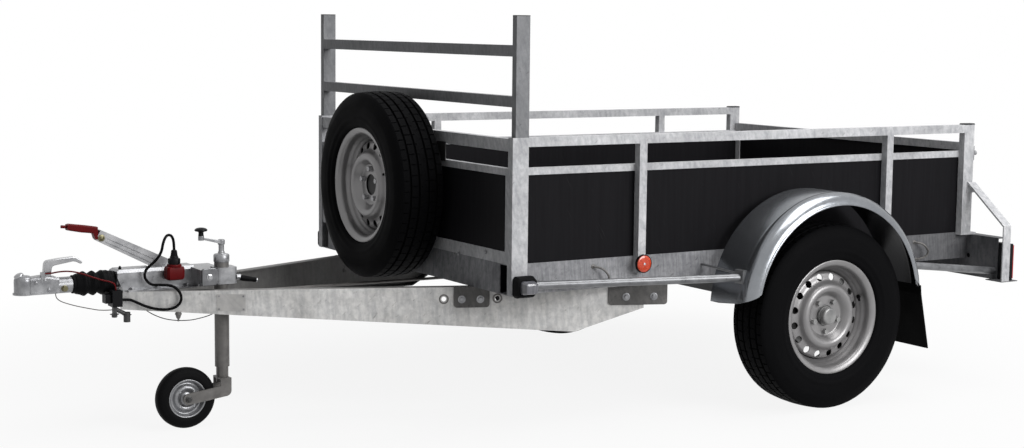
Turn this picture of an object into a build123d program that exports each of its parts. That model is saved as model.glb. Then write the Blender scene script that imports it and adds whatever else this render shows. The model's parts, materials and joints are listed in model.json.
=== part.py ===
from build123d import *
import os
from math import atan2, cos, degrees, hypot, pi, radians, sin, sqrt, tan

# Single-axle braked utility trailer: galvanised frame, plywood box, spare wheel and jockey wheel.
# Millimetres. +X points forwards, to the coupling, +Y to the left and +Z up.
# The origin is on the floor, under the middle of the trailer's length and width.
# Lengths along X are first measured from the axle, and ahead() turns them into row positions.

# ---------------------------------------------------------------- driving dimensions
# wheels and axle
TYRE_D = 650.0                # outer diameter of the tyre
TYRE_W = 185.0                # section width
TREAD_W = 150.0               # flat of the tread
RIM_FLANGE_D = 400.0          # over the rim flanges
BEAD_SEAT_D = 354.0
RIM_W = 156.0                 # over the rim flanges
RIM_T = 4.0
HUB_OFFSET = 30.0             # rim middle to the mounting face
WHEEL_Y = 837.0               # rim middle from the centre line
VENT_N, VENT_D, VENT_R = 16, 27.0, 137.0
STUD_N, STUD_PCD, STUD_D = 5, 112.0, 19.0
STUD_HOLE_D = 14.0
CENTRE_BORE_D = 66.6
HUB_CAP_D, HUB_CAP_L = 60.0, 34.0
DRUM_D, DRUM_W = 236.0, 58.0
STUB_D = 40.0
RUNNING_FIT = 0.05            # radial clearance of a shaft in its bore

# rubber-sprung axle
TUBE_X, TUBE_Z, TUBE_R = 150.0, 400.0, 42.0
ARM_Y0, ARM_Y1, ARM_W = 700.0, 726.0, 56.0

# body
BODY_FRONT = 1189.0           # front face of the front cross member, ahead of the axle
BODY_REAR = -857.0            # rear face of the rear posts
BODY_W = 1434.0               # over the posts
POST_X, POST_Y = 60.0, 28.0   # front corner post tube
REAR_POST_X = 50.0
HEAD_POST_X, HEAD_POST_Y = 50.0, 25.0
STANCHION_X = 30.0
STANCHION_XS = (680.0, -430.0)
STANCHION_BOTTOM = 500.0
TUBE_T = 2.5                  # wall of the body's tubes
CHASSIS_TOP, CHASSIS_H = 555.0, 100.0
CHASSIS_FLANGE, CHASSIS_T = 50.0, 3.0
RAIL_TOP, RAIL_H = 965.0, 30.0
END_RAIL_TOP, END_RAIL_H, END_RAIL_X = 960.0, 40.0, 30.0
PLY = 15.0                    # plywood of floor and walls
PANEL_TOP = 862.0
CAP_H, CAP_T = 20.0, 3.0      # folded cap on a panel's top edge
SILL_TOP = 595.0              # folded strip at the foot of the front panel
CROSS_H, CROSS_FLANGE = 60.0, 40.0
CROSS_XS = (800.0, 420.0, -60.0, -440.0)
HEAD_TOP = 1350.0
HEAD_BARS = ((1222.0, 1258.0), (1061.0, 1096.0))   # low and high edges of the headboard's bars
END_CAP = 3.0

# tailgate and its hinges
GATE_T = 25.0
GATE_GAP = 6.0                # between the gate's stiles and the posts
GATE_STILE = 30.0
GATE_BOTTOM, GATE_TOP = 566.0, 896.0
HINGE_X, HINGE_Z = -866.0, 560.0
HINGE_R, HINGE_PIN_R = 7.0, 4.0
HINGE_YS = (430.0, -430.0)
KNUCKLE_L, EAR_T = 46.0, 8.0
LATCH_Z = 857.0

# lamp channel across the rear, its stays and lamps
CHANNEL_X, CHANNEL_D = -866.0, 45.0
CHANNEL_TOP, CHANNEL_BOTTOM = 547.0, 389.0
CHANNEL_END, LAMP_END = 850.0, 898.0
CHANNEL_HOLE_Y, CHANNEL_HOLE_Z = 702.0, 465.0
POST_FOOT_X = -886.0            # rear edge of the foot plate under a rear post
LAMP_L, LAMP_H = 250.0, 137.0
LAMP_BODY, LENS_T = 26.0, 14.0
GUARD_Y, GUARD_T, GUARD_W = 905.0, 5.0, 38.0
GUARD_KNEE_Z, GUARD_TOP_Z = 600.0, 748.0

# fender and mudflap
FENDER_R, FENDER_T, FENDER_Z = 400.0, 2.5, 360.0
FENDER_IN, FENDER_OUT = 735.0, 952.0
FENDER_LOW = 386.0
LIP_R = 22.0
FLAP_LOW, FLAP_T, FLAP_IN = 180.0, 5.0, 755.0
FLAP_LEAN = 43.0                # how far the flap's foot hangs back

# fender stays, lamps and hooks
STAY_R, STAY_Z, STAY_Y = 13.5, 484.0, 872.0
STAY_FRONT_X = 1094.0
MARKER_L, MARKER_H, MARKER_LOW = 80.0, 69.0, 451.0
REFLECTOR_D, REFLECTOR_Z = 62.0, 531.0
HOOK_XS, HOOK_Z = (860.0, -610.0), 533.0

# drawbar
BEAM_FRONT_X, BEAM_FRONT_Y = 2255.0, 44.0
BEAM_END_X = 648.0
BEAM_DEPTH_FRONT, BEAM_DEPTH_MAX, BEAM_DEPTH_END = 57.0, 158.0, 80.0
BEAM_DEEP_X = 870.0
BEAM_FLANGE, BEAM_T = 34.0, 3.5
BEAM_HOLE_D = 16.0
BEAM_HOLES = {1: ((1281.0, 40.0), (1114.0, 40.0)), -1: ((1212.0, 60.0),)}   # x and depth by side
BEAM_PLATES = ((1188.0, 92.0, 76.0), (668.0, 190.0, 68.0))   # middle, length and depth of each plate

# overrun device and coupling
HOUSING_REAR, HOUSING_FRONT = 2000.0, 2262.0
HOUSING_W, HOUSING_H, HOUSING_CHAMFER = 84.0, 70.0, 10.0
DRAW_SEAT = 60.0              # length of the draw tube inside the housing
DRAW_Z = 484.0                # axis of the draw tube
DRAW_TUBE_D = 50.0
BELLOWS_FRONT = 2401.0
BELLOWS_D, BELLOWS_ROOT_D, BELLOWS_N = 80.0, 62.0, 3
COUPLING_REAR = 2404.0
BALL_X = 2553.0
BALL_D = 50.4                 # socket for a 50 mm ball
CUP_R = 34.0                  # skirt round the socket
CUP_LOW, CUP_TOP = 462.0, 522.0
BALL_RISE = 24.0              # skirt's foot to the ball's middle
NECK_W = 50.0
HANDLE_X, HANDLE_TOP = 2474.0, 568.0
HANDLE_L = 100.0

# jockey wheel
JOCKEY_X, JOCKEY_Y = 1930.0, 100.0
JOCKEY_TUBE_D, JOCKEY_INNER_D = 48.0, 40.0
JOCKEY_D, JOCKEY_W = 200.0, 50.0
JOCKEY_AXLE_R, JOCKEY_RIM_R = 8.0, 64.0
JOCKEY_TRAIL, JOCKEY_TRAVEL = 130.0, 140.0
JOCKEY_TUBE_LOW, JOCKEY_TUBE_TOP = 193.0, 540.0
CLAMP_LOW, CLAMP_TOP, CLAMP_W = 470.0, 524.0, 68.0
CLAMP_FIT = 0.1
FORK_ARM = 37.0               # width of the fork's bent arms
FORK_T, FORK_GAP = 4.0, 5.0

# spare wheel
SPARE_Z = 762.0
SPARE_GAP = 15.0              # between its tyre and the front rail
CARRIER_T = 3.0

# hand brake
LEVER_REAR = (2064.0, 516.0)  # middle of the lever's rear end
LEVER_FRONT = (2306.0, 636.0)
LEVER_DEEP, LEVER_SLIM = 47.0, 36.0
LEVER_Y, LEVER_W, LEVER_T = -22.0, 24.0, 3.0
SLOT_GAP = 2.0                # beside the lever in the housing's slot
GRIP_L, GRIP_W = 100.0, 27.0

# parked plug, cable bracket and cords
HOLDER_X, HOLDER_LOW, HOLDER_TOP = 2079.0, 486.0, 530.0
HOLDER_L, HOLDER_W = 60.0, 44.0
PLUG_D, PLUG_TOP = 40.0, 584.0
BRACKET_FRONT, BRACKET_LOW, BRACKET_TOP = 2288.0, 410.0, 463.0
YOKE_Y, YOKE_LOW = 34.0, 380.0
RELAY_X, WIRE_REAR_X = 2204.0, 1902.0
CABLE_D, BREAKAWAY_D, WIRE_D = 9.0, 5.0, 3.0

# ---------------------------------------------------------------- derived places
ROD_Z = TUBE_Z + 10           # brake rod
EQUALISER_X = TUBE_X + 90
NOSE_X = BALL_X + CUP_R
REAR_X = CHANNEL_X - CHANNEL_D
AXLE_X = -(NOSE_X + REAR_X) / 2
CHASSIS_LOW = CHASSIS_TOP - CHASSIS_H
POST_OUT = BODY_W / 2
POST_IN = POST_OUT - POST_Y
PANEL_OUT = POST_IN - CAP_T
PANEL_IN = PANEL_OUT - PLY
AXLE_Z = TYRE_D / 2
FRONT_FACE = BODY_FRONT + CAP_T
HEAD_FACE = FRONT_FACE - POST_X + HEAD_POST_X
HEAD_IN = POST_OUT - HEAD_POST_Y


def ahead(x):
    """Row position of a length measured ahead of the axle."""
    return AXLE_X + x


def block(x0, x1, y0, y1, z0, z1):
    """Box between two corners, x measured ahead of the axle."""
    size = (abs(x1 - x0), abs(y1 - y0), abs(z1 - z0))
    return Pos(ahead((x0 + x1) / 2), (y0 + y1) / 2, (z0 + z1) / 2) * Box(*size)


def tube_block(x0, x1, y0, y1, z0, z1, along, wall=TUBE_T):
    """Rectangular tube: the block between two corners, open at both ends along one axis."""
    t = {axis: (0 if axis == along else wall) for axis in "xyz"}
    over = {axis: (1 if axis == along else 0) for axis in "xyz"}
    inner = block(min(x0, x1) + t["x"] - over["x"], max(x0, x1) - t["x"] + over["x"],
                  min(y0, y1) + t["y"] - over["y"], max(y0, y1) - t["y"] + over["y"],
                  min(z0, z1) + t["z"] - over["z"], max(z0, z1) - t["z"] + over["z"])
    return block(x0, x1, y0, y1, z0, z1) - inner


def rod(a, b, radius):
    """Round bar between two row points."""
    a, b = Vector(*a), Vector(*b)
    return Plane(a, z_dir=b - a) * Cylinder(radius, (b - a).length, align=(Align.CENTER, Align.CENTER, Align.MIN))


def both(make):
    """One solid on each side, from make(side) with side +1 for left and -1 for right."""
    return [make(1), make(-1)]


def mirrored(solid):
    return mirror(solid, Plane.XZ)


def path_face(points):
    """Face inside a closed run of straight lines."""
    return make_face(Polyline(*points, close=True))


def turned(points, axis=Axis.Z):
    """Solid of revolution about Z of a closed outline of (radius, height) points."""
    outline = Plane.XZ * make_face(Polyline(*points, close=True))
    return revolve(outline, axis)


# ---------------------------------------------------------------- wheels
# Wheels are made about +Z, outboard side up, with the rim's middle at the origin.
def tyre(width=TYRE_W, outer=TYRE_D, seat=BEAD_SEAT_D, tread=TREAD_W, rim_w=RIM_W):
    """Tyre carcass with rounded shoulders and bulging walls, hollow inside."""
    r_out, r_in = outer / 2, seat / 2
    wall = 12.0
    half_bead = rim_w / 2 - RIM_T - 7
    bulge_r = r_in + (r_out - r_in) * 0.55
    flange_r = RIM_FLANGE_D / 2

    def side(sign, inset):
        bulge = width / 2 - inset
        shoulder = tread / 2 - inset / 2
        top = r_out - inset
        return [(r_in, sign * (half_bead - inset)),
                (flange_r + 1, sign * (rim_w / 2 - RIM_T - 1 - inset)),
                (bulge_r, sign * bulge),
                (r_out - 26 - inset / 2, sign * (bulge - 5)),
                (top - 8, sign * shoulder),
                (top, sign * (shoulder - 12))]

    outer_side, inner_side = side(1, 0), side(1, wall)
    ring = []
    for points in (outer_side, inner_side):
        low = [(r, -h) for r, h in reversed(points)]
        a, b, c, d, e, f = points
        edges = [Line(a, b), ThreePointArc(b, c, d), Line(d, e), Line(e, f), Line(f, low[0]),
                 Line(low[0], low[1]), Line(low[1], low[2]), ThreePointArc(low[2], low[3], low[4]),
                 Line(low[4], low[5]), Line(low[5], a)]
        ring.append(make_face(edges))
    section = ring[0] - Pos(-0.5, 0) * ring[1]
    solid = revolve(Plane.XZ * section, Axis.Z)
    return solid


def rim():
    """Pressed steel wheel: barrel with a drop centre, domed disc with vents, stud holes and bore."""
    flange, seat, drop = RIM_FLANGE_D / 2, BEAD_SEAT_D / 2 - 0.2, BEAD_SEAT_D / 2 - 20
    half, t = RIM_W / 2, RIM_T
    outside = [(flange, half), (flange, half - t), (seat, half - t - 3), (seat, 30), (drop, 18), (drop, -22),
               (seat, -34), (seat, -half + t + 3), (flange, -half + t), (flange, -half)]
    inside = [(seat - t, -half), (seat - t, -36), (drop - t, -24), (drop - t, 20), (seat - t, 32), (seat - t, half)]
    barrel = turned(outside + inside)
    crest_r, step_r, lip_r = 97.0, 78.0, drop - t
    mount = HUB_OFFSET
    front = [(CENTRE_BORE_D / 2, mount + t), (step_r - 4, mount + t), (step_r + 6, mount + 22), (crest_r, mount + 30),
             (crest_r + 14, mount + 24), (VENT_R + 12, mount - 2), (lip_r, mount - 14)]
    back = [(lip_r, mount - 18), (VENT_R + 10, mount - 6), (crest_r + 12, mount + 20), (crest_r, mount + 26),
            (step_r + 9, mount + 18), (step_r - 1, mount), (CENTRE_BORE_D / 2, mount)]
    disc = turned(front + back)
    vents = [Rot(0, 0, 360 / VENT_N * i) * Pos(VENT_R, 0, mount) * Cylinder(VENT_D / 2, 80) for i in range(VENT_N)]
    studs = [Rot(0, 0, 90 + 360 / STUD_N * i) * Pos(STUD_PCD / 2, 0, mount) * Cylinder(STUD_HOLE_D / 2, 40)
             for i in range(STUD_N)]
    return barrel + (disc - vents - studs)


def wheel_bolts():
    """Bolts through the disc's holes, seated on its outer face."""
    low = (Align.CENTER, Align.CENTER, Align.MIN)
    bolts = []
    for i in range(STUD_N):
        at = Rot(0, 0, 90 + 360 / STUD_N * i) * Pos(STUD_PCD / 2, 0, HUB_OFFSET)
        shank = Cylinder(STUD_HOLE_D / 2 - 0.5, RIM_T + 1, align=low)
        head = extrude(Plane.XY.offset(RIM_T + 0.2) * RegularPolygon(STUD_D / 2, 6), 13)
        bolts.append(at * (shank + head))
    return bolts


def hub():
    """Hub with brake drum behind the rim, wheel bolts and grease cap, bored for the stub axle."""
    mount = HUB_OFFSET
    body = turned([(0, mount), (CENTRE_BORE_D / 2 + 42, mount), (CENTRE_BORE_D / 2 + 42, mount - 9),
                   (DRUM_D / 2, mount - 16), (DRUM_D / 2, mount - DRUM_W), (DRUM_D / 2 - 14, mount - DRUM_W),
                   (DRUM_D / 2 - 14, mount - 24), (42, mount - 24), (42, mount - DRUM_W), (0, mount - DRUM_W)])
    spigot = Pos(0, 0, mount) * Cylinder(CENTRE_BORE_D / 2 - 0.3, 10, align=(Align.CENTER, Align.CENTER, Align.MIN))
    cap = Pos(0, 0, mount) * Cylinder(HUB_CAP_D / 2, HUB_CAP_L, align=(Align.CENTER, Align.CENTER, Align.MIN))
    cap = fillet(cap.edges().group_by(Axis.Z)[-1], 7)
    solid = body + spigot + cap + wheel_bolts()
    bore_l = DRUM_W
    bore = Pos(0, 0, mount - bore_l - 1) * Cylinder(STUB_D / 2 + RUNNING_FIT, bore_l,
                                                   align=(Align.CENTER, Align.CENTER, Align.MIN))
    return solid - bore


def on_axle(solid, side):
    """Put a wheel part on the axle, outboard side out."""
    out = Plane((ahead(0), side * WHEEL_Y, AXLE_Z), x_dir=(side, 0, 0), z_dir=(0, side, 0))
    return out * solid


SPARE_X = BODY_FRONT + SPARE_GAP + TYRE_W / 2


def as_spare(solid):
    """Put a wheel part on the spare's carrier, outboard side forwards."""
    return Plane((ahead(SPARE_X), 0, SPARE_Z), x_dir=(0, 1, 0), z_dir=(1, 0, 0)) * solid


# ---------------------------------------------------------------- chassis
def side_rail(side):
    """C rail along one side, open inwards."""
    y1 = side * POST_IN
    y0 = side * (POST_IN - CHASSIS_FLANGE)
    rail = block(CHANNEL_X, BODY_FRONT, y0, y1, CHASSIS_LOW, CHASSIS_TOP)
    t = CHASSIS_T
    return rail - block(CHANNEL_X - 1, BODY_FRONT + 1, side * (POST_IN - CHASSIS_FLANGE - 1), side * (POST_IN - t),
                        CHASSIS_LOW + t, CHASSIS_TOP - t)


def cross_channel(x_web, x_open, low, top, half):
    """C channel across the frame, its web at x_web and its flanges reaching x_open."""
    t = CHASSIS_T
    lo, hi = min(x_web, x_open), max(x_web, x_open)
    web_in = x_web + (t if x_open > x_web else -t)
    open_out = x_open + (1 if x_open > x_web else -1)
    whole = block(lo, hi, -half, half, low, top)
    return whole - block(web_in, open_out, -half - 1, half + 1, low + t, top - t)


def cross_members():
    half = POST_IN - CHASSIS_FLANGE
    front = cross_channel(BODY_FRONT, BODY_FRONT - CROSS_FLANGE, CHASSIS_LOW, CHASSIS_TOP, half)
    rear = cross_channel(BODY_REAR + 2, BODY_REAR + 2 + CROSS_FLANGE, CHASSIS_LOW, CHASSIS_TOP, half)
    middle = [cross_channel(x, x - CROSS_FLANGE, CHASSIS_TOP - CROSS_H, CHASSIS_TOP, half) for x in CROSS_XS]
    return [front, rear] + middle


BEAM_SLOPE = (POST_IN - BEAM_FRONT_Y) / (BEAM_FRONT_X - BEAM_END_X)
BEAM_ANGLE = degrees(atan2(POST_IN - BEAM_FRONT_Y, BEAM_FRONT_X - BEAM_END_X))
BEAM_L = hypot(POST_IN - BEAM_FRONT_Y, BEAM_FRONT_X - BEAM_END_X)


def beam_face_y(x):
    """Distance of a beam's outer face from the centre line, x ahead of the axle."""
    return BEAM_FRONT_Y + (BEAM_FRONT_X - x) * BEAM_SLOPE


def beam_plane(side):
    """Frame on a beam's front end: local x runs back along the web, local z points inwards."""
    a = radians(BEAM_ANGLE)
    return Plane((ahead(BEAM_FRONT_X), side * BEAM_FRONT_Y, CHASSIS_LOW),
                 x_dir=(-cos(a), side * sin(a), 0), z_dir=(-sin(a), -side * cos(a), 0))


def beam(side):
    """Tapered folded drawbar beam: web outside, flanges turned in, deepest behind the box front."""
    deep_s = (BEAM_FRONT_X - BEAM_DEEP_X) / cos(radians(BEAM_ANGLE))
    plane = beam_plane(side)
    down = -1 if plane.y_dir.Z > 0 else 1
    outline = [(0, 0), (BEAM_L, 0), (BEAM_L, BEAM_DEPTH_END), (deep_s, BEAM_DEPTH_MAX), (0, BEAM_DEPTH_FRONT)]
    inset = [(-1, BEAM_T), (BEAM_L + 1, BEAM_T), (BEAM_L + 1, BEAM_DEPTH_END - BEAM_T),
             (deep_s, BEAM_DEPTH_MAX - BEAM_T), (-1, BEAM_DEPTH_FRONT - BEAM_T)]
    whole = extrude(plane * path_face([(x, down * depth) for x, depth in outline]), BEAM_FLANGE)
    hollow = extrude(plane.offset(BEAM_T) * path_face([(x, down * depth) for x, depth in inset]), BEAM_FLANGE)
    holes = [plane * Pos((BEAM_FRONT_X - x) / cos(radians(BEAM_ANGLE)), down * depth, 0)
             * Cylinder(BEAM_HOLE_D / 2, 30) for x, depth in BEAM_HOLES[side]]
    return whole - hollow - holes


def beam_plates(side):
    """Bolted plates on a beam's outer face, at the box front and at its rear end."""
    plane = beam_plane(side)
    down = -1 if plane.y_dir.Z > 0 else 1
    plates = []
    for x, length, depth in BEAM_PLATES:
        s = (BEAM_FRONT_X - x) / cos(radians(BEAM_ANGLE))
        plates.append(plane * Pos(s, down * depth / 2, -2.5) * Box(length, depth, 5))
    return plates


# ---------------------------------------------------------------- box
def corner_post(x0, x1, side, low):
    return tube_block(x0, x1, side * POST_IN, side * POST_OUT, low, RAIL_TOP, "z")


def corner_posts():
    """Front posts down to the foot of the rails; rear posts on foot plates on the lamp channel."""
    front = both(lambda s: corner_post(FRONT_FACE - POST_X, FRONT_FACE, s, CHASSIS_LOW))
    rear = both(lambda s: corner_post(BODY_REAR, BODY_REAR + REAR_POST_X, s, CHASSIS_TOP))
    feet = both(lambda s: block(POST_FOOT_X, BODY_REAR + REAR_POST_X, s * POST_IN, s * POST_OUT,
                                CHANNEL_TOP, CHASSIS_TOP))
    return front + [post + foot for post, foot in zip(rear, feet)]


def stanchions():
    return [tube_block(x - STANCHION_X / 2, x + STANCHION_X / 2, s * POST_IN, s * POST_OUT,
                       STANCHION_BOTTOM, RAIL_TOP - RAIL_H, "z") for s in (1, -1) for x in STANCHION_XS]


def top_rails():
    sides = both(lambda s: tube_block(BODY_REAR + REAR_POST_X, FRONT_FACE - POST_X, s * POST_IN, s * POST_OUT,
                                      RAIL_TOP - RAIL_H, RAIL_TOP, "x"))
    front = tube_block(BODY_FRONT - END_RAIL_X, BODY_FRONT, -POST_IN, POST_IN,
                       END_RAIL_TOP - END_RAIL_H, END_RAIL_TOP, "y")
    return sides + [front]


PANEL_REAR = BODY_REAR + 32.0
PANEL_FRONT = BODY_FRONT - 2 * CAP_T - PLY
FRONT_PANEL_X = BODY_FRONT - CAP_T - PLY
FRONT_PANEL_Y = POST_IN - 20.0


def side_panels():
    return both(lambda s: block(PANEL_REAR, PANEL_FRONT, s * PANEL_IN, s * PANEL_OUT, CHASSIS_TOP, PANEL_TOP))


def cap(x0, x1, y0, y1, top, along):
    """Folded cap over a panel's top edge: the block less the panel's slot below its roof."""
    t = {"x": 0, "y": 0}
    t["y" if along == "x" else "x"] = CAP_T
    whole = block(x0, x1, y0, y1, top - CAP_H, top + CAP_T)
    ys = sorted((y0, y1))
    over = {"x": 1 if along == "x" else 0, "y": 1 if along == "y" else 0}
    return whole - block(x0 + t["x"] - over["x"], x1 - t["x"] + over["x"], ys[0] + t["y"] - over["y"],
                         ys[1] - t["y"] + over["y"], top - CAP_H - 1, top)


def panel_caps():
    return both(lambda s: cap(PANEL_REAR, PANEL_FRONT, s * (PANEL_IN - CAP_T), s * POST_IN, PANEL_TOP, "x"))


def front_trim():
    """Cap, edge channels and foot strip that frame the front panel."""
    x0, x1 = FRONT_PANEL_X - CAP_T, BODY_FRONT
    across = cap(x0, x1, -POST_IN, POST_IN, PANEL_TOP, "y")
    edges = [block(x0, x1, s * FRONT_PANEL_Y, s * POST_IN, CHASSIS_TOP, PANEL_TOP - CAP_H) for s in (1, -1)]
    strip = block(BODY_FRONT - CAP_T, BODY_FRONT, -FRONT_PANEL_Y, FRONT_PANEL_Y, CHASSIS_TOP, SILL_TOP)
    return across + edges + strip


def front_panel():
    return block(FRONT_PANEL_X, BODY_FRONT - CAP_T, -FRONT_PANEL_Y, FRONT_PANEL_Y, CHASSIS_TOP, PANEL_TOP)


def floor_board():
    return block(PANEL_REAR, FRONT_PANEL_X - CAP_T, -PANEL_IN, PANEL_IN, CHASSIS_TOP, CHASSIS_TOP + PLY)


def headboard():
    """Ladder frame standing on the front corner posts: two capped posts and two bars."""
    posts = []
    for s in (1, -1):
        x0, x1 = FRONT_FACE - POST_X, HEAD_FACE
        y0, y1 = s * HEAD_IN, s * POST_OUT
        posts.append(tube_block(x0, x1, y0, y1, RAIL_TOP, HEAD_TOP, "z")
                     + block(x0, x1, y0, y1, HEAD_TOP, HEAD_TOP + END_CAP))
    bars = [tube_block(HEAD_FACE - END_RAIL_X, HEAD_FACE, -HEAD_IN, HEAD_IN, low, high, "y")
            for low, high in HEAD_BARS]
    return posts + bars


# ---------------------------------------------------------------- tailgate
GATE_X0 = BODY_REAR
GATE_X1 = BODY_REAR + GATE_T
GATE_Y = PANEL_OUT - GATE_GAP + CAP_T


def tailgate_frame():
    """Welded frame of the drop gate, with its two hinge knuckles."""
    half = GATE_Y
    top = tube_block(GATE_X0, GATE_X1, -half, half, GATE_TOP - GATE_STILE, GATE_TOP, "y")
    foot = tube_block(GATE_X0, GATE_X1, -half, half, GATE_BOTTOM, GATE_BOTTOM + GATE_STILE, "y")
    frame = top + foot
    for s in (1, -1):
        frame += tube_block(GATE_X0, GATE_X1, s * (half - GATE_STILE), s * half, GATE_BOTTOM + GATE_STILE,
                            GATE_TOP - GATE_STILE, "z")
    for y in HINGE_YS:
        barrel = Pos(ahead(HINGE_X), y, HINGE_Z) * Rot(90, 0, 0) * Cylinder(HINGE_R, KNUCKLE_L)
        leaf = block(HINGE_X + 4, GATE_X0, y - KNUCKLE_L / 2, y + KNUCKLE_L / 2, HINGE_Z, HINGE_Z + 60)
        frame += barrel + leaf
    for y in HINGE_YS:
        frame -= Pos(ahead(HINGE_X), y, HINGE_Z) * Rot(90, 0, 0) * Cylinder(HINGE_PIN_R + RUNNING_FIT, KNUCKLE_L + 2)
    return frame


def tailgate_panel():
    middle = (GATE_X0 + GATE_X1) / 2
    return block(middle - PLY / 2, middle + PLY / 2, -GATE_Y + GATE_STILE, GATE_Y - GATE_STILE,
                 GATE_BOTTOM + GATE_STILE, GATE_TOP - GATE_STILE)


def tailgate_hinge(y):
    """Ears and pin that carry one knuckle of the gate."""
    pin_l = KNUCKLE_L + 2 * EAR_T + 2
    pin = Pos(ahead(HINGE_X), y, HINGE_Z) * Rot(90, 0, 0) * Cylinder(HINGE_PIN_R, pin_l)
    ears = []
    for s in (1, -1):
        y_ear = y + s * (KNUCKLE_L / 2 + EAR_T / 2 + 1)
        ear = Pos(ahead(HINGE_X), y_ear, HINGE_Z) * Rot(90, 0, 0) * Cylinder(HINGE_R, EAR_T)
        foot = block(CHANNEL_X, BODY_REAR + 2, y_ear - EAR_T / 2, y_ear + EAR_T / 2, CHASSIS_TOP - 40, HINGE_Z)
        ears.append(ear + foot)
    return pin + ears


def gate_latches():
    """Latch plates with their knobs, on the back of the rear posts."""
    solids = []
    for s in (1, -1):
        plate = block(BODY_REAR - 5, BODY_REAR, s * (POST_IN + 1), s * (POST_OUT - 1), LATCH_Z - 27, LATCH_Z + 27)
        knob = Pos(ahead(BODY_REAR - 14), s * (POST_IN + POST_Y / 2), LATCH_Z) * Rot(0, 90, 0) * Cylinder(9, 18)
        solids.append(plate + knob)
    return solids


# ---------------------------------------------------------------- rear lamp channel
def lamp_channel():
    """Lamp carrier across the full width, open to the rear, with tabs under the guard bars."""
    t = CHASSIS_T
    rear = CHANNEL_X - CHANNEL_D
    whole = block(rear, CHANNEL_X, -CHANNEL_END, CHANNEL_END, CHANNEL_BOTTOM, CHANNEL_TOP)
    hollow = block(rear - 1, CHANNEL_X - t, -CHANNEL_END - 1, CHANNEL_END + 1, CHANNEL_BOTTOM + t, CHANNEL_TOP - t)
    channel = whole - hollow
    for s in (1, -1):
        channel += block(rear, CHANNEL_X + GUARD_W, s * (CHANNEL_END - 20), s * (GUARD_Y + GUARD_T),
                         CHANNEL_BOTTOM, CHANNEL_BOTTOM + t)
        channel -= Pos(ahead(CHANNEL_X), s * CHANNEL_HOLE_Y, CHANNEL_HOLE_Z) * Rot(0, 90, 0) * Cylinder(9, 20)
    return channel


def rear_lamps():
    return both(lambda s: block(CHANNEL_X - CHASSIS_T - LAMP_BODY, CHANNEL_X - CHASSIS_T,
                                s * (LAMP_END - LAMP_L), s * LAMP_END,
                                CHANNEL_BOTTOM + CHASSIS_T, CHANNEL_BOTTOM + CHASSIS_T + LAMP_H))


def rear_lenses():
    """Lens on the back of each lamp, its rim rounded."""
    x = CHANNEL_X - CHASSIS_T - LAMP_BODY
    low = CHANNEL_BOTTOM + CHASSIS_T
    lenses = []
    for s in (1, -1):
        lens = block(x - LENS_T, x, s * (LAMP_END - LAMP_L + 6), s * (LAMP_END - 6), low + 6, low + LAMP_H - 6)
        lenses.append(fillet(lens.edges().group_by(Axis.X)[0], 5))
    return lenses


def lamp_guard(side):
    """Flat bar bent from the rear post out and down to the lamp channel's end."""
    y_in, y_out = side * POST_OUT, side * GUARD_Y
    t = side * GUARD_T
    low = CHANNEL_BOTTOM + CHASSIS_T
    outline = [(y_in, GUARD_TOP_Z), (y_in, GUARD_TOP_Z - 40), (y_in + t, GUARD_TOP_Z - 40),
               (y_in + t, GUARD_TOP_Z - 8), (y_out, GUARD_KNEE_Z - 4), (y_out, low), (y_out + t, low),
               (y_out + t, GUARD_KNEE_Z), (y_in + t * 1.2, GUARD_TOP_Z)]
    face = Plane((ahead(CHANNEL_X + GUARD_W), 0, 0), x_dir=(0, 1, 0), z_dir=(1, 0, 0)) * path_face(outline)
    return extrude(face, -GUARD_W)


# ---------------------------------------------------------------- fenders
def fender(side):
    """Half-round mudguard over the tyre, with a rolled outer edge."""
    y_in, y_out = FENDER_IN, FENDER_OUT
    t, r = FENDER_T, FENDER_R
    crown = y_out - 2 * LIP_R
    section = make_face([
        Line((r, y_in), (r, crown)),
        ThreePointArc((r, crown), (r + 6, crown + LIP_R), (r - 8, y_out - 2)),
        Line((r - 8, y_out - 2), (r - 30, y_out)),
        Line((r - 30, y_out), (r - 30, y_out - t)),
        Line((r - 30, y_out - t), (r - 9, y_out - 2 - t)),
        ThreePointArc((r - 9, y_out - 2 - t), (r + 6 - t, crown + LIP_R - 1), (r - t, crown)),
        Line((r - t, crown), (r - t, y_in)),
        Line((r - t, y_in), (r, y_in)),
    ])
    start = degrees(atan2(FENDER_LOW - FENDER_Z, r))
    # the outline's x is the radius and its y lies along the axle
    face = Plane((0, 0, 0), x_dir=(1, 0, 0), z_dir=(0, 0, 1)) * section
    shell = revolve(face, Axis.Y, 180 - 2 * start)
    shell = Rot(0, -(180 - start), 0) * shell
    box = shell.bounding_box()
    if box.center().Z < 0:
        shell = Rot(0, 180, 0) * shell
    shell = Pos(ahead(0), 0, FENDER_Z) * shell
    return shell if side > 0 else mirrored(shell)


def mudflap(side):
    """Rubber flap under the fender's rear edge, hanging back towards its foot."""
    r_in = FENDER_R - FENDER_T
    top, bend = FENDER_LOW + 26, FENDER_LOW - 6
    outline = [(-r_in, top), (-r_in + FLAP_T, top), (-r_in + FLAP_T, bend), (FLAP_T - r_in - FLAP_LEAN, FLAP_LOW),
               (-r_in - FLAP_LEAN, FLAP_LOW), (-r_in, bend)]
    face = Plane((ahead(0), 0, 0), x_dir=(1, 0, 0), z_dir=(0, -1, 0)) * path_face(outline)
    flap = Pos(0, side * (FENDER_OUT + FLAP_IN - 18) / 2, 0) * extrude(face, (FENDER_OUT - FLAP_IN - 18) / 2, both=True)
    bay = Pos(ahead(0), 0, FENDER_Z) * Rot(90, 0, 0) * Cylinder(r_in, 2 * FENDER_OUT)
    above = block(-FENDER_R - 20, 0, -FENDER_OUT, FENDER_OUT, FENDER_LOW - 1, FENDER_LOW + 100)
    return flap - (above - bay)


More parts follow.
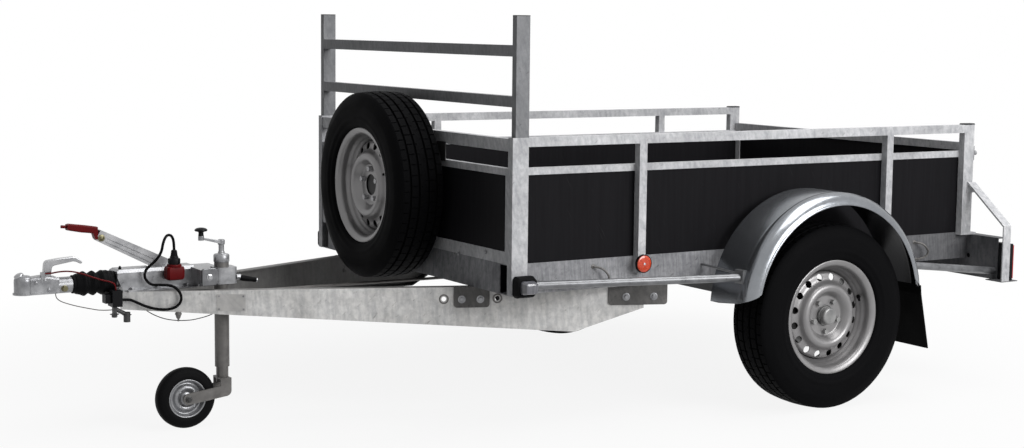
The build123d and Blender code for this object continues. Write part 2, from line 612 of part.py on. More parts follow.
def fender_stays():
    """Round tubes that brace each fender, to the front corner and to the lamp channel."""
    solids = []
    bay = Pos(ahead(0), 0, FENDER_Z) * Rot(90, 0, 0) * Cylinder(FENDER_R, 2 * FENDER_OUT)
    edge = sqrt(FENDER_R ** 2 - (STAY_Z - FENDER_Z) ** 2)
    z0, z1 = STAY_Z - 20, STAY_Z + 26
    for s in (1, -1):
        y0, y1 = s * (STAY_Y - 22), s * (STAY_Y + 22)
        y_lug = s * (POST_IN + STAY_R + 3)
        plate = block(edge - 16, edge + 9, y0, y1, z0, z1)
        tube = rod((ahead(edge + 7), s * STAY_Y, STAY_Z), (ahead(STAY_FRONT_X), y_lug, STAY_Z), STAY_R)
        lug = block(STAY_FRONT_X - 22, STAY_FRONT_X + 2, s * POST_IN, y_lug, STAY_Z - STAY_R, STAY_Z + STAY_R)
        brace = rod((ahead(edge + 4), s * (STAY_Y - 12), STAY_Z + 12), (ahead(edge + 26), s * (POST_IN - 1), z1), 4)
        brace -= block(0, BODY_FRONT, s * (POST_IN - 20), s * POST_IN, CHASSIS_LOW, CHASSIS_TOP)
        solids.append((plate + tube + lug + brace) - bay)
        rear_plate = block(-edge - 9, -edge + 16, y0, y1, z0, z1)
        low_end = (ahead(CHANNEL_X + 2), s * (CHANNEL_END - 15), CHANNEL_BOTTOM + 33)
        tail = rod((ahead(-edge - 7), s * STAY_Y, STAY_Z - 6), low_end, STAY_R)
        tail -= block(CHANNEL_X, CHANNEL_X - 40, s * POST_IN, s * LAMP_END, CHANNEL_BOTTOM, CHANNEL_TOP)
        solids.append((rear_plate + tail) - bay)
    return solids


# ---------------------------------------------------------------- axle
def axle_tube():
    """Hexagonal tube of the rubber-sprung axle."""
    hexagon = Plane((ahead(TUBE_X), -ARM_Y0, TUBE_Z), x_dir=(1, 0, 0), z_dir=(0, 1, 0)) * RegularPolygon(TUBE_R, 6)
    return extrude(hexagon, 2 * ARM_Y0)


def axle_bracket(side):
    """Bracket that carries the axle tube under a side rail: a foot and two cheeks."""
    y_in, y_out = POST_IN - CHASSIS_FLANGE, POST_IN
    bracket = block(TUBE_X - 90, TUBE_X + 90, side * y_in, side * y_out, CHASSIS_LOW - 8, CHASSIS_LOW)
    for y in (y_in + 4, y_out - 10):
        bracket += block(TUBE_X - 60, TUBE_X + 60, side * y, side * (y + 6), TUBE_Z - 10, CHASSIS_LOW - 8)
    return bracket - axle_tube()


def axle_arm(side):
    """Swing arm from the axle tube to the wheel, with its stub axle and brake backplate."""
    a = (TUBE_X, TUBE_Z)
    b = (0.0, AXLE_Z)
    angle = degrees(atan2(b[1] - a[1], b[0] - a[0]))
    length = hypot(b[0] - a[0], b[1] - a[1])
    local = SlotCenterToCenter(length, ARM_W)
    plane = Plane((ahead((a[0] + b[0]) / 2), side * ARM_Y0, (a[1] + b[1]) / 2),
                  x_dir=(cos(radians(angle)), 0, sin(radians(angle))), z_dir=(0, side, 0))
    arm = extrude(plane * local, ARM_Y1 - ARM_Y0)
    out = Plane((ahead(0), side * ARM_Y1, AXLE_Z), z_dir=(0, side, 0))
    stub_end = WHEEL_Y + HUB_OFFSET - 5
    low = (Align.CENTER, Align.CENTER, Align.MIN)
    stub = out * Cylinder(STUB_D / 2, stub_end - ARM_Y1, align=low)
    plate_y = WHEEL_Y + HUB_OFFSET - DRUM_W - 5
    plate = out * Pos(0, 0, plate_y - ARM_Y1 - 4) * (Cylinder(DRUM_D / 2 + 3, 4, align=low))
    boss = out * Cylinder(48, plate_y - 4 - ARM_Y1, align=low)
    return arm + stub + plate + boss


# ---------------------------------------------------------------- overrun device and coupling
def housing():
    """Pressed overrun housing on top of the drawbar, its front end sloping down to the bellows."""
    half = HOUSING_W / 2
    top = CHASSIS_LOW + HOUSING_H
    side_view = [(HOUSING_REAR, CHASSIS_LOW), (HOUSING_FRONT - 18, CHASSIS_LOW), (HOUSING_FRONT, top - 26),
                 (HOUSING_FRONT, top - 6), (HOUSING_FRONT - 8, top), (HOUSING_REAR, top)]
    face = Plane((0, -half, 0), x_dir=(1, 0, 0), z_dir=(0, -1, 0)) * path_face([(ahead(x), z) for x, z in side_view])
    solid = extrude(face, -HOUSING_W)
    solid = chamfer(solid.edges().filter_by(Axis.X).group_by(Axis.Z)[-1], HOUSING_CHAMFER)
    feet = block(HOUSING_REAR, HOUSING_FRONT - 30, -half - 18, half + 18, CHASSIS_LOW, CHASSIS_LOW + 5)
    bore = rod((ahead(HOUSING_FRONT - DRAW_SEAT), 0, DRAW_Z), (ahead(HOUSING_FRONT + 5), 0, DRAW_Z), DRAW_TUBE_D / 2)
    slot_half = LEVER_W / 2 + SLOT_GAP
    slot = block(LEVER_REAR[0] - 24, LEVER_REAR[0] + 78, LEVER_Y - slot_half, LEVER_Y + slot_half,
                 LEVER_REAR[1] - LEVER_DEEP / 2 - 10, top + 5)
    return (solid + feet) - bore - slot


def bellows():
    """Rubber gaiter with round folds over the draw tube."""
    length = BELLOWS_FRONT - HOUSING_FRONT
    pitch = length / BELLOWS_N
    root, crest, bore = BELLOWS_ROOT_D / 2, BELLOWS_D / 2, DRAW_TUBE_D / 2
    edges = [Line((bore, 0), (root, 0))]
    for i in range(BELLOWS_N):
        z = i * pitch
        edges.append(ThreePointArc((root, z), (crest, z + pitch / 2), (root, z + pitch)))
    edges += [Line((root, length), (bore, length)), Line((bore, length), (bore, 0))]
    face = Plane.XZ * make_face(edges)
    solid = revolve(face, Axis.Z)
    return Plane((ahead(HOUSING_FRONT), 0, DRAW_Z), z_dir=(1, 0, 0)) * solid


def coupling_head():
    """Ball coupling: socket cup with skirt and wear button, pressed neck, clamping sleeve and draw tube."""
    low = (Align.CENTER, Align.CENTER, Align.MIN)
    base = Pos(ahead(BALL_X), 0, CUP_LOW)
    cup = fillet((base * Cylinder(CUP_R - 4, CUP_TOP - CUP_LOW, align=low)).edges().group_by(Axis.Z)[-1], 17)
    skirt = base * Cylinder(CUP_R, 5, align=low)
    flange = block(COUPLING_REAR + 50, BALL_X, -NECK_W / 2 - 5, NECK_W / 2 + 5, CUP_LOW, CUP_LOW + 5)
    button = Plane((ahead(BALL_X + 4), 0, CUP_TOP - 22), z_dir=(0.45, 0, 1)) * Cylinder(14, 30, align=low)
    button = fillet(button.edges().group_by(Axis.Z)[-1], 6)
    side_view = [(BALL_X, CUP_LOW), (COUPLING_REAR + 42, CUP_LOW), (COUPLING_REAR + 42, DRAW_Z + 26),
                 (COUPLING_REAR + 50, DRAW_Z + 30), (HANDLE_X + 14, CUP_TOP - 2), (BALL_X, CUP_TOP - 8)]
    face = Plane((0, -NECK_W / 2, 0), x_dir=(1, 0, 0), z_dir=(0, -1, 0)) * path_face(
        [(ahead(x), z) for x, z in side_view])
    neck = extrude(face, -NECK_W)
    upper = [e for e in neck.edges() if e.center().Z > DRAW_Z + 20 and abs(e.center().Y) > NECK_W / 2 - 1]
    neck = fillet([e for e in upper if abs((e % 0.5).X) > 0.9 and e.length > 20], 9)
    sleeve = rod((ahead(COUPLING_REAR), 0, DRAW_Z), (ahead(COUPLING_REAR + 44), 0, DRAW_Z), DRAW_TUBE_D / 2 + 1)
    tube = rod((ahead(HOUSING_FRONT - DRAW_SEAT), 0, DRAW_Z), (ahead(COUPLING_REAR), 0, DRAW_Z), DRAW_TUBE_D / 2)
    lug = block(HANDLE_X + 18, HANDLE_X + 30, 14, 26, CUP_TOP - 22, CUP_TOP + 10)
    solid = cup + skirt + flange + button + neck + sleeve + tube + lug
    ball = Pos(ahead(BALL_X), 0, CUP_LOW + BALL_RISE) * Sphere(BALL_D / 2)
    mouth = base * Cylinder(BALL_D / 2, BALL_RISE, align=low)
    return solid - ball - mouth


def coupling_handle():
    """Lifting handle of the coupling: an upright that turns back over the draw tube."""
    points = [(HANDLE_X, CUP_TOP - 26), (HANDLE_X, HANDLE_TOP), (HANDLE_X - HANDLE_L + 16, HANDLE_TOP + 5),
              (HANDLE_X - HANDLE_L - 8, HANDLE_TOP - 16)]
    route = FilletPolyline(*[(ahead(x), 0, z) for x, z in points], radius=[14, 12])
    start = Plane(route @ 0, x_dir=(0, 1, 0), z_dir=route % 0)
    bar = sweep(start * RectangleRounded(26, 20, 6), route)
    return bar - coupling_head()


# ---------------------------------------------------------------- hand brake
def lever_outline(inset):
    """Side outline of the tapered lever, inset on its long edges."""
    (x0, z0), (x1, z1) = LEVER_REAR, LEVER_FRONT
    length = hypot(x1 - x0, z1 - z0)
    nx, nz = -(z1 - z0) / length, (x1 - x0) / length
    half_rear, half_front = LEVER_DEEP / 2 - inset, LEVER_SLIM / 2 - inset
    corners = [(x0 + nx * half_rear, z0 + nz * half_rear), (x0 - nx * half_rear, z0 - nz * half_rear),
               (x1 - nx * half_front, z1 - nz * half_front), (x1 + nx * half_front, z1 + nz * half_front)]
    return path_face([(ahead(x), z) for x, z in corners])


def handbrake_lever():
    """Folded hand-brake lever, a channel open below, with its pivot pin across the housing's slot."""
    outer = extrude(Plane((0, LEVER_Y - LEVER_W / 2, 0), x_dir=(1, 0, 0), z_dir=(0, -1, 0)) * lever_outline(0), -LEVER_W)
    inner_w = LEVER_W - 2 * LEVER_T
    inner = extrude(Plane((0, LEVER_Y - inner_w / 2, 0), x_dir=(1, 0, 0), z_dir=(0, -1, 0)) * lever_outline(LEVER_T),
                    -inner_w)
    channel = outer - (inner + Pos(2, 0, -5) * inner)
    reach = LEVER_W / 2 + SLOT_GAP
    x, z = ahead(LEVER_REAR[0] + 14), LEVER_REAR[1] - 8
    return channel + rod((x, LEVER_Y - reach, z), (x, LEVER_Y + reach, z), 6)


def handbrake_grip():
    """Moulded grip on the lever's end, with a lug behind and the release button in front."""
    x, z = LEVER_FRONT
    outline = [(x, z + 26), (x + 34, z + 32), (x + GRIP_L - 8, z + 40), (x + GRIP_L, z + 37), (x + GRIP_L, z + 20),
               (x + 56, z + 11), (x + 16, z + 6), (x + 10, z - 13), (x, z - 14)]
    face = Plane((0, LEVER_Y - GRIP_W / 2, 0), x_dir=(1, 0, 0), z_dir=(0, -1, 0)) * path_face(
        [(ahead(px), pz) for px, pz in outline])
    grip = extrude(face, -GRIP_W)
    grip = fillet([e for e in grip.edges() if abs((e % 0.5).Y) < 0.1 and e.length > 30], 5)
    button = rod((ahead(x + GRIP_L - 1), LEVER_Y, z + 30), (ahead(x + GRIP_L + 18), LEVER_Y, z + 32), 5)
    return (grip + button) - extrude(
        Plane((0, LEVER_Y - LEVER_W / 2, 0), x_dir=(1, 0, 0), z_dir=(0, -1, 0)) * lever_outline(0), -LEVER_W)


def equaliser_bar():
    return block(EQUALISER_X - 12, EQUALISER_X, -60, 60, ROD_Z - 14, ROD_Z + 14)


def brake_rod():
    """Brake rod from the overrun's relay lever back to the equaliser in front of the axle."""
    line = rod((ahead(EQUALISER_X - 6), 0, ROD_Z), (ahead(RELAY_X), 0, ROD_Z + 12), 5) - equaliser_bar()
    relay = block(RELAY_X - 8, RELAY_X + 8, -7, 7, ROD_Z - 20, CHASSIS_LOW)
    tab = block(WIRE_REAR_X - 12, WIRE_REAR_X, -8, 8, ROD_Z - 22, ROD_Z + 12)
    return line + relay + tab


def brake_equaliser():
    """Balance bar behind the rod's end, and the stubs of the two brake cables to the axle."""
    cables = [rod((ahead(EQUALISER_X - 6), s * 45, ROD_Z), (ahead(TUBE_X), s * 45, ROD_Z), 5) for s in (1, -1)]
    return (equaliser_bar() + cables) - axle_tube()


def brake_fork():
    """Yoke under the cable bracket that pulls on the relay lever."""
    x = BRACKET_FRONT - 14
    stem = block(x - 9, x + 3, YOKE_Y - 7, YOKE_Y + 7, YOKE_LOW, BRACKET_LOW)
    arm = rod((ahead(x - 4), YOKE_Y, YOKE_LOW + 20), (ahead(x - 44), YOKE_Y, YOKE_LOW - 2), 7)
    nut = Pos(ahead(x - 44), YOKE_Y, YOKE_LOW - 10) * Cylinder(11, 32)
    return stem + arm + nut


# ---------------------------------------------------------------- jockey wheel
def jockey_clamp():
    """Clamp round the leg: a rounded block on an arm from the housing, its bolt plate and toggle handle."""
    half = CLAMP_W / 2
    body = block(JOCKEY_X - 44, JOCKEY_X + 30, JOCKEY_Y - half, JOCKEY_Y + half, CLAMP_LOW, CLAMP_TOP)
    body = fillet(body.edges().filter_by(Axis.Z), 14)
    arm = block(JOCKEY_X + 20, HOUSING_REAR + 14, HOUSING_W / 2, JOCKEY_Y + half - 4, CLAMP_LOW + 3, CLAMP_TOP - 3)
    tail = block(JOCKEY_X - 10, HOUSING_REAR, -HOUSING_W / 2, JOCKEY_Y - 30, CHASSIS_LOW + 3, CLAMP_TOP - 6)
    plate = block(JOCKEY_X + 34, JOCKEY_X + 80, JOCKEY_Y + half - 4, JOCKEY_Y + half + 4, CLAMP_LOW, CLAMP_TOP)
    toggle_y = JOCKEY_Y + half - 10
    boss = rod((ahead(JOCKEY_X - 42), toggle_y, CLAMP_LOW + 20), (ahead(JOCKEY_X - 56), toggle_y, CLAMP_LOW + 20), 9)
    handle = rod((ahead(JOCKEY_X - 50), toggle_y + 2, CLAMP_LOW + 18),
                 (ahead(JOCKEY_X - 112), toggle_y + 8, CLAMP_LOW + 6), 7)
    solid = body + arm + tail + plate + boss + handle
    return solid - rod((ahead(JOCKEY_X), JOCKEY_Y, CLAMP_LOW - 20), (ahead(JOCKEY_X), JOCKEY_Y, CLAMP_TOP + 20),
                       JOCKEY_TUBE_D / 2 + CLAMP_FIT)


def jockey_leg():
    """Outer tube of the jockey wheel, open below, with the winding head and crank on top."""
    x, y = ahead(JOCKEY_X), JOCKEY_Y
    outer = rod((x, y, JOCKEY_TUBE_LOW), (x, y, JOCKEY_TUBE_TOP), JOCKEY_TUBE_D / 2)
    bore = rod((x, y, JOCKEY_TUBE_LOW - 1), (x, y, JOCKEY_TUBE_TOP - 60), JOCKEY_INNER_D / 2 + 0.3)
    return outer - bore


def jockey_crank():
    """Winding head, cranked arm and knob."""
    x, y = ahead(JOCKEY_X), JOCKEY_Y
    head = rod((x, y, JOCKEY_TUBE_TOP), (x, y, JOCKEY_TUBE_TOP + 28), 26)
    stem = rod((x, y, JOCKEY_TUBE_TOP + 28), (x, y, JOCKEY_TUBE_TOP + 66), 8)
    arm = rod((x, y, JOCKEY_TUBE_TOP + 62), (x + 72, y, JOCKEY_TUBE_TOP + 82), 6)
    knob_stem = rod((x + 70, y, JOCKEY_TUBE_TOP + 78), (x + 70, y, JOCKEY_TUBE_TOP + 98), 8)
    knob = rod((x + 70, y, JOCKEY_TUBE_TOP + 96), (x + 70, y, JOCKEY_TUBE_TOP + 116), 21)
    return head + stem + arm + knob_stem + knob


WHEEL_X = JOCKEY_X + JOCKEY_TRAIL


def jockey_fork():
    """Inner tube with two bent flat arms that carry the small wheel ahead of the leg."""
    x, y, z = ahead(JOCKEY_X), JOCKEY_Y, JOCKEY_D / 2
    inner_top = CLAMP_LOW - JOCKEY_TRAVEL - 8
    inner = rod((x, y, JOCKEY_TUBE_LOW - 50), (x, y, inner_top), JOCKEY_INNER_D / 2)
    half = JOCKEY_W / 2 + FORK_GAP
    bend_z = z + 16
    bridge = block(JOCKEY_X - FORK_ARM / 2, JOCKEY_X + FORK_ARM / 2, y - half - FORK_T, y + half + FORK_T,
                   JOCKEY_TUBE_LOW - 40, JOCKEY_TUBE_LOW - 35)
    fork = inner + bridge
    reach = hypot(JOCKEY_TRAIL, bend_z - z)
    tilt = degrees(atan2(z - bend_z, JOCKEY_TRAIL))
    for s in (1, -1):
        out = Plane((x, y + s * (half + FORK_T / 2), 0), x_dir=(1, 0, 0), z_dir=(0, -1, 0))
        upright = out * Pos(0, (bend_z + JOCKEY_TUBE_LOW - 35) / 2) * Rectangle(FORK_ARM, JOCKEY_TUBE_LOW - 35 - bend_z)
        arm = out * Pos(JOCKEY_TRAIL / 2, (bend_z + z) / 2) * Rot(0, 0, tilt) * SlotCenterToCenter(reach, FORK_ARM)
        fork += extrude(upright + arm, FORK_T / 2, both=True)
    axle = half + FORK_T + 5
    return fork + rod((x + JOCKEY_TRAIL, y - axle, z), (x + JOCKEY_TRAIL, y + axle, z), JOCKEY_AXLE_R)


def jockey_tyre():
    """Solid rubber tyre with rounded shoulders."""
    outer, inner = JOCKEY_D / 2, JOCKEY_RIM_R
    ring = Cylinder(outer, JOCKEY_W) - Cylinder(inner, JOCKEY_W + 2)
    ring = fillet(ring.edges().filter_by(GeomType.CIRCLE).sort_by(SortBy.RADIUS)[-2:], 14)
    return Plane((ahead(WHEEL_X), JOCKEY_Y, outer), z_dir=(0, 1, 0)) * ring


def jockey_rim():
    """Dished sheet-metal rim with its hub tube."""
    bore = JOCKEY_AXLE_R + RUNNING_FIT
    rim_r, half = JOCKEY_RIM_R, JOCKEY_W / 2 - 3
    profile = [(bore, half), (20, half), (20, 8), (46, 14), (rim_r - 8, half), (rim_r, half), (rim_r, -half),
               (rim_r - 8, -half), (46, -14), (20, -8), (20, -half), (bore, -half)]
    return Plane((ahead(WHEEL_X), JOCKEY_Y, JOCKEY_D / 2), z_dir=(0, 1, 0)) * turned(profile)


# ---------------------------------------------------------------- small fittings
def spare_carrier():
    """Carrier on the front wall: strap across the rails' gap, upright, stub and bolted flange."""
    x0, x1 = BODY_FRONT, BODY_FRONT + CARRIER_T
    upright = block(x0, x1, -40, 40, SILL_TOP + 5, END_RAIL_TOP)
    strap = block(x0, x1, -280, 280, PANEL_TOP + CAP_T - 4, END_RAIL_TOP - END_RAIL_H + 6)
    face = SPARE_X + HUB_OFFSET
    stub = rod((ahead(x0), 0, SPARE_Z), (ahead(face - 8), 0, SPARE_Z), 30)
    flange = rod((ahead(face - 8), 0, SPARE_Z), (ahead(face), 0, SPARE_Z), STUD_PCD / 2 + 18)
    return upright + strap + stub + flange + [as_spare(bolt) for bolt in wheel_bolts()]


def marker_lamp(side):
    """Corner marker lamp: rubber foot on the front post and a tapered lens block."""
    x0 = FRONT_FACE - 4 - MARKER_L
    y = side * POST_OUT
    foot = block(x0, x0 + MARKER_L, y, y + side * 14, MARKER_LOW, MARKER_LOW + MARKER_H)
    foot = chamfer(foot.edges().filter_by(Axis.Y).group_by(Axis.Z)[-1].sort_by(Axis.X)[0], MARKER_H / 5)
    middle = (ahead(x0 + MARKER_L / 2 + 6), MARKER_LOW + MARKER_H / 2)
    sections = [Plane((middle[0], y + side * out, middle[1]), x_dir=(1, 0, 0), z_dir=(0, side, 0))
                * Rectangle(MARKER_L - less, MARKER_H - less) for out, less in ((14, 15), (60, 32))]
    return foot + loft(sections)


def reflector(side):
    x, y = ahead(STANCHION_XS[0] - 4), side * POST_OUT
    return rod((x, y, REFLECTOR_Z), (x, y + side * 9, REFLECTOR_Z), REFLECTOR_D / 2)


def lashing_hook(x, side):
    """Bent-bar lashing hook on the outer face of a side rail."""
    y_near, y_far = side * (POST_IN + 4), side * (POST_IN + 17)
    route = FilletPolyline((ahead(x + 32), y_near, HOOK_Z), (ahead(x - 6), y_far, HOOK_Z - 3),
                           (ahead(x - 34), y_far, HOOK_Z - 25), (ahead(x - 30), y_near, HOOK_Z - 47),
                           radius=[14, 12])
    bar = sweep(Plane(route @ 0, z_dir=route % 0) * Circle(4), route)
    return bar + block(x + 14, x + 38, side * POST_IN, side * (POST_IN + 5), HOOK_Z - 9, HOOK_Z + 9)


def plug_holder():
    """Parking socket for the plug, on the side of the overrun housing."""
    y = HOUSING_W / 2
    socket = block(HOLDER_X - HOLDER_L / 2, HOLDER_X + HOLDER_L / 2, y, y + HOLDER_W, HOLDER_LOW, HOLDER_TOP)
    return fillet([e for e in socket.edges().filter_by(Axis.Z) if e.center().Y > y + 1], 12)


def cable_plug():
    """Plug parked on end in the holder, its neck narrowing to the cable."""
    x, y = ahead(HOLDER_X), HOUSING_W / 2 + HOLDER_W / 2
    body = rod((x, y, HOLDER_TOP), (x, y, HOLDER_TOP + 28), PLUG_D / 2)
    neck = Pos(x, y, HOLDER_TOP + 28) * Cone(12, 8, PLUG_TOP - HOLDER_TOP - 28, align=(Align.CENTER, Align.CENTER, Align.MIN))
    return body + neck


def cable_bracket():
    """Moulded bracket on the drawbar's front end, where the cables are held."""
    body = block(BEAM_FRONT_X, BRACKET_FRONT, BEAM_FRONT_Y - 24, BEAM_FRONT_Y + 24, BRACKET_LOW, BRACKET_TOP)
    nose = block(BRACKET_FRONT, BRACKET_FRONT + 20, BEAM_FRONT_Y - 20, BEAM_FRONT_Y + 14, BRACKET_LOW + 12,
                 BRACKET_TOP - 12)
    recess = rod((ahead(HOUSING_FRONT - 10), 0, DRAW_Z), (ahead(BRACKET_FRONT + 30), 0, DRAW_Z), BELLOWS_D / 2 + 3)
    return (body + nose) - recess


def cord(points, diameter):
    """Tube along straight runs joined by arcs, each as large as its two runs allow."""
    row = [Vector(ahead(x), y, z) for x, y, z in points]
    radii = []
    for a, b, c in zip(row, row[1:], row[2:]):
        half_turn = radians((b - a).get_angle(c - b)) / 2
        radii.append(0.45 * min((b - a).length, (c - b).length) / tan(half_turn))
    route = FilletPolyline(*row, radius=radii)
    tube = sweep(Plane(route @ 0, z_dir=route % 0) * Circle(diameter / 2), route)
    section = pi * diameter ** 2 / 4
    print(f"cord of {diameter} mm: length {route.length:.0f}, smallest arc {min(radii):.1f},",
          f"volume over section times length {tube.volume / (section * route.length):.4f}")
    return tube


LIGHTING_ROUTE = [
    (HOLDER_X, HOUSING_W / 2 + HOLDER_W / 2, PLUG_TOP), (2079, 64, 614), (2094, 78, 635), (2117, 97, 637),
    (2133, 110, 616), (2138, 108, 583), (2154, 92, 553), (2177, 69, 528), (2180, 59, 499), (2161, 66, 474),
    (2133, 85, 475), (2100, 110, 474), (2080, 126, 450), (2080, 128, 420), (2104, 120, 399),
    (2143, 104, 397), (2182, 88, 407), (2211, 73, 422), (2231, 60, 432), (BEAM_FRONT_X, 60, 432)]
BREAKAWAY_ROUTE = [
    (HANDLE_X + 18, 20, CUP_TOP + 4), (2472, 20, 526), (2450, 27, 531), (2418, 33, 532), (2385, 37, 525),
    (2348, 42, 510), (2316, 47, 498), (2287, 51, 491), (2272, 52, 481),
    (BRACKET_FRONT - 16, 52, BRACKET_TOP)]
WIRE_FRONT_ROUTE = [
    (COUPLING_REAR + 48, 0, CUP_LOW), (2452, 0, 447), (2441, 3, 434), (2418, 9, 424), (2386, 16, 414),
    (2350, 24, 405), (2313, 34, 397), (BRACKET_FRONT - 11, YOKE_Y, YOKE_LOW + 17)]
WIRE_REAR_ROUTE = [
    (RELAY_X - 8, 0, ROD_Z - 10), (2180, 0, 400), (2160, 1, 386), (2130, 0, 365), (2090, 1, 347),
    (2045, 0, 338), (2000, 1, 336), (1968, 0, 340), (1942, 1, 345), (1920, 0, 352), (1903, 0, 363),
    (1896, 0, 376), (WIRE_REAR_X - 6, 0, ROD_Z - 22)]


# ---------------------------------------------------------------- write the sub-parts
def parts():
    wheel_parts = {"tyre": tyre(), "rim": rim(), "hub": hub()}
    nodes = {}
    for name, solid in wheel_parts.items():
        nodes[f"{name}_left"] = on_axle(solid, 1)
        nodes[f"{name}_right"] = on_axle(solid, -1)
    nodes["spare_tyre"] = as_spare(wheel_parts["tyre"])
    nodes["spare_rim"] = as_spare(wheel_parts["rim"])
    nodes["spare_carrier"] = spare_carrier()
    nodes["side_rails"] = both(side_rail)
    nodes["cross_members"] = cross_members()
    nodes["drawbar_beams"] = both(beam)
    nodes["drawbar_plates"] = beam_plates(1) + beam_plates(-1)
    nodes["corner_posts"] = corner_posts()
    nodes["side_stanchions"] = stanchions()
    nodes["top_rails"] = top_rails()
    nodes["side_panels"] = side_panels()
    nodes["front_panel"] = front_panel()
    nodes["panel_trim"] = panel_caps() + [front_trim()]
    nodes["floor_board"] = floor_board()
    nodes["headboard"] = headboard()
    nodes["tailgate_frame"] = tailgate_frame()
    nodes["tailgate_panel"] = tailgate_panel()
    nodes["tailgate_fittings"] = [tailgate_hinge(y) for y in HINGE_YS] + gate_latches()
    nodes["lamp_channel"] = lamp_channel()
    nodes["rear_lamps"] = rear_lamps()
    nodes["rear_lenses"] = rear_lenses()
    nodes["lamp_guards"] = both(lamp_guard)
    nodes["fenders"] = both(fender)
    nodes["mudflaps"] = both(mudflap)
    nodes["fender_stays"] = fender_stays()
    nodes["axle_tube"] = axle_tube()
    nodes["axle_brackets"] = both(axle_bracket)
    nodes["axle_arms"] = both(axle_arm)
    nodes["overrun_housing"] = housing()
    nodes["bellows"] = bellows()
    nodes["coupling_head"] = coupling_head()
    nodes["coupling_handle"] = coupling_handle()
    nodes["handbrake_lever"] = handbrake_lever()
    nodes["handbrake_grip"] = handbrake_grip()
    nodes["brake_rod"] = brake_rod()
    nodes["brake_equaliser"] = brake_equaliser()
    nodes["jockey_clamp"] = jockey_clamp()
    nodes["jockey_leg"] = jockey_leg()
    nodes["jockey_crank"] = jockey_crank()
    nodes["jockey_fork"] = jockey_fork()
    nodes["jockey_tyre"] = jockey_tyre()
    nodes["jockey_rim"] = jockey_rim()
    nodes["marker_lamps"] = both(marker_lamp)
    nodes["side_reflectors"] = both(reflector)
    nodes["lashing_hooks"] = [lashing_hook(x, s) for s in (1, -1) for x in HOOK_XS]
    nodes["plug_holder"] = plug_holder()
    nodes["cable_plug"] = cable_plug()
    nodes["cable_bracket"] = cable_bracket()
    nodes["brake_fork"] = brake_fork()
    nodes["lighting_cable"] = cord(LIGHTING_ROUTE, CABLE_D)
    nodes["breakaway_cable"] = cord(BREAKAWAY_ROUTE, BREAKAWAY_D)
    nodes["brake_wire_front"] = cord(WIRE_FRONT_ROUTE, WIRE_D)
    nodes["brake_wire_rear"] = cord(WIRE_REAR_ROUTE, WIRE_D)
    return nodes


def main():
    os.makedirs("parts", exist_ok=True)
    for name, shape in parts().items():
        solids = []
        for piece in (shape if isinstance(shape, list) else [shape]):
            solids.extend(piece.solids())
        whole = solids[0] if len(solids) == 1 else Compound(children=solids)
        export_step(whole, f"parts/{name}.step")


main()
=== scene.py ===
"""Looks of the utility trailer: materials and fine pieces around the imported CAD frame.

Blender works in metres in the row frame: +X forwards, +Y left, +Z up. Lengths are written as
millimetres ahead of the axle, left of the middle and above the floor, and at() turns them into row
points.
"""
import json
import math

import bmesh
import bpy
from mathutils import Matrix, Vector

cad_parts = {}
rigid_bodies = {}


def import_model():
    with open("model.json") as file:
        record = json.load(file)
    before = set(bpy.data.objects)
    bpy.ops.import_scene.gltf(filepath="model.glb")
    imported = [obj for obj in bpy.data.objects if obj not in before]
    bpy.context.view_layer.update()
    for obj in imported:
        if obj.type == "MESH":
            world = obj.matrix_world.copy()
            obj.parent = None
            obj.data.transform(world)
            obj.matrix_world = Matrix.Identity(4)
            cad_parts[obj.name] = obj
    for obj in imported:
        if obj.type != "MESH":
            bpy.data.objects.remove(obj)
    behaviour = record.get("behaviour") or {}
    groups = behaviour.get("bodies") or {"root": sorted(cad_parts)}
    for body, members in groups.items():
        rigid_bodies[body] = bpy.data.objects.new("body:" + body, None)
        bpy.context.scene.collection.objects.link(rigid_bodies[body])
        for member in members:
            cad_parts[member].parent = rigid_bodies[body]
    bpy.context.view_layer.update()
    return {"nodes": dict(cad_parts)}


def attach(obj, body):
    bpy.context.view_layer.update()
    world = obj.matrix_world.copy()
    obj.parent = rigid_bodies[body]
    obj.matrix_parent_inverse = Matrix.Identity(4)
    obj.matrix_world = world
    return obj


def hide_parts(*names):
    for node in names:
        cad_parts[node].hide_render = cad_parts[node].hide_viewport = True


for leftover in list(bpy.data.objects):
    bpy.data.objects.remove(leftover)

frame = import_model()
NODES = frame["nodes"]
MM = 0.001
AXLE_X = -0.838                            # row place of the axle
WHEEL_Y, WHEEL_Z, FENDER_Z = 837.0, 325.0, 360.0
SPARE_X, SPARE_Z = 1296.5, 762.0
BEAM_FRONT_X, BEAM_FRONT_Y = 2255.0, 44.0  # front ends of the drawbar beams' outer faces
BEAM_END_X, BEAM_END_Y = 648.0, 689.0      # and their rear ends
BEAM_SLOPE = (BEAM_END_Y - BEAM_FRONT_Y) / (BEAM_FRONT_X - BEAM_END_X)
CAMERA_PLACE = (3.277, 5.466, 1.330)
CAMERA_TURNS = (31.61, 6.54, 0.628)        # yaw, pitch and roll in degrees


def at(x, y, z):
    """Row point of millimetres measured ahead of the axle."""
    return Vector((AXLE_X + x * MM, y * MM, z * MM))


def new_object(name, data):
    """Object in the scene from a mesh, a curve, a camera or a light."""
    made = bpy.data.objects.new(name, data)
    bpy.context.collection.objects.link(made)
    return made


def mesh_from(name, bm):
    """Object in the scene from a bmesh."""
    mesh = bpy.data.meshes.new(name)
    bm.to_mesh(mesh)
    bm.free()
    return new_object(name, mesh)


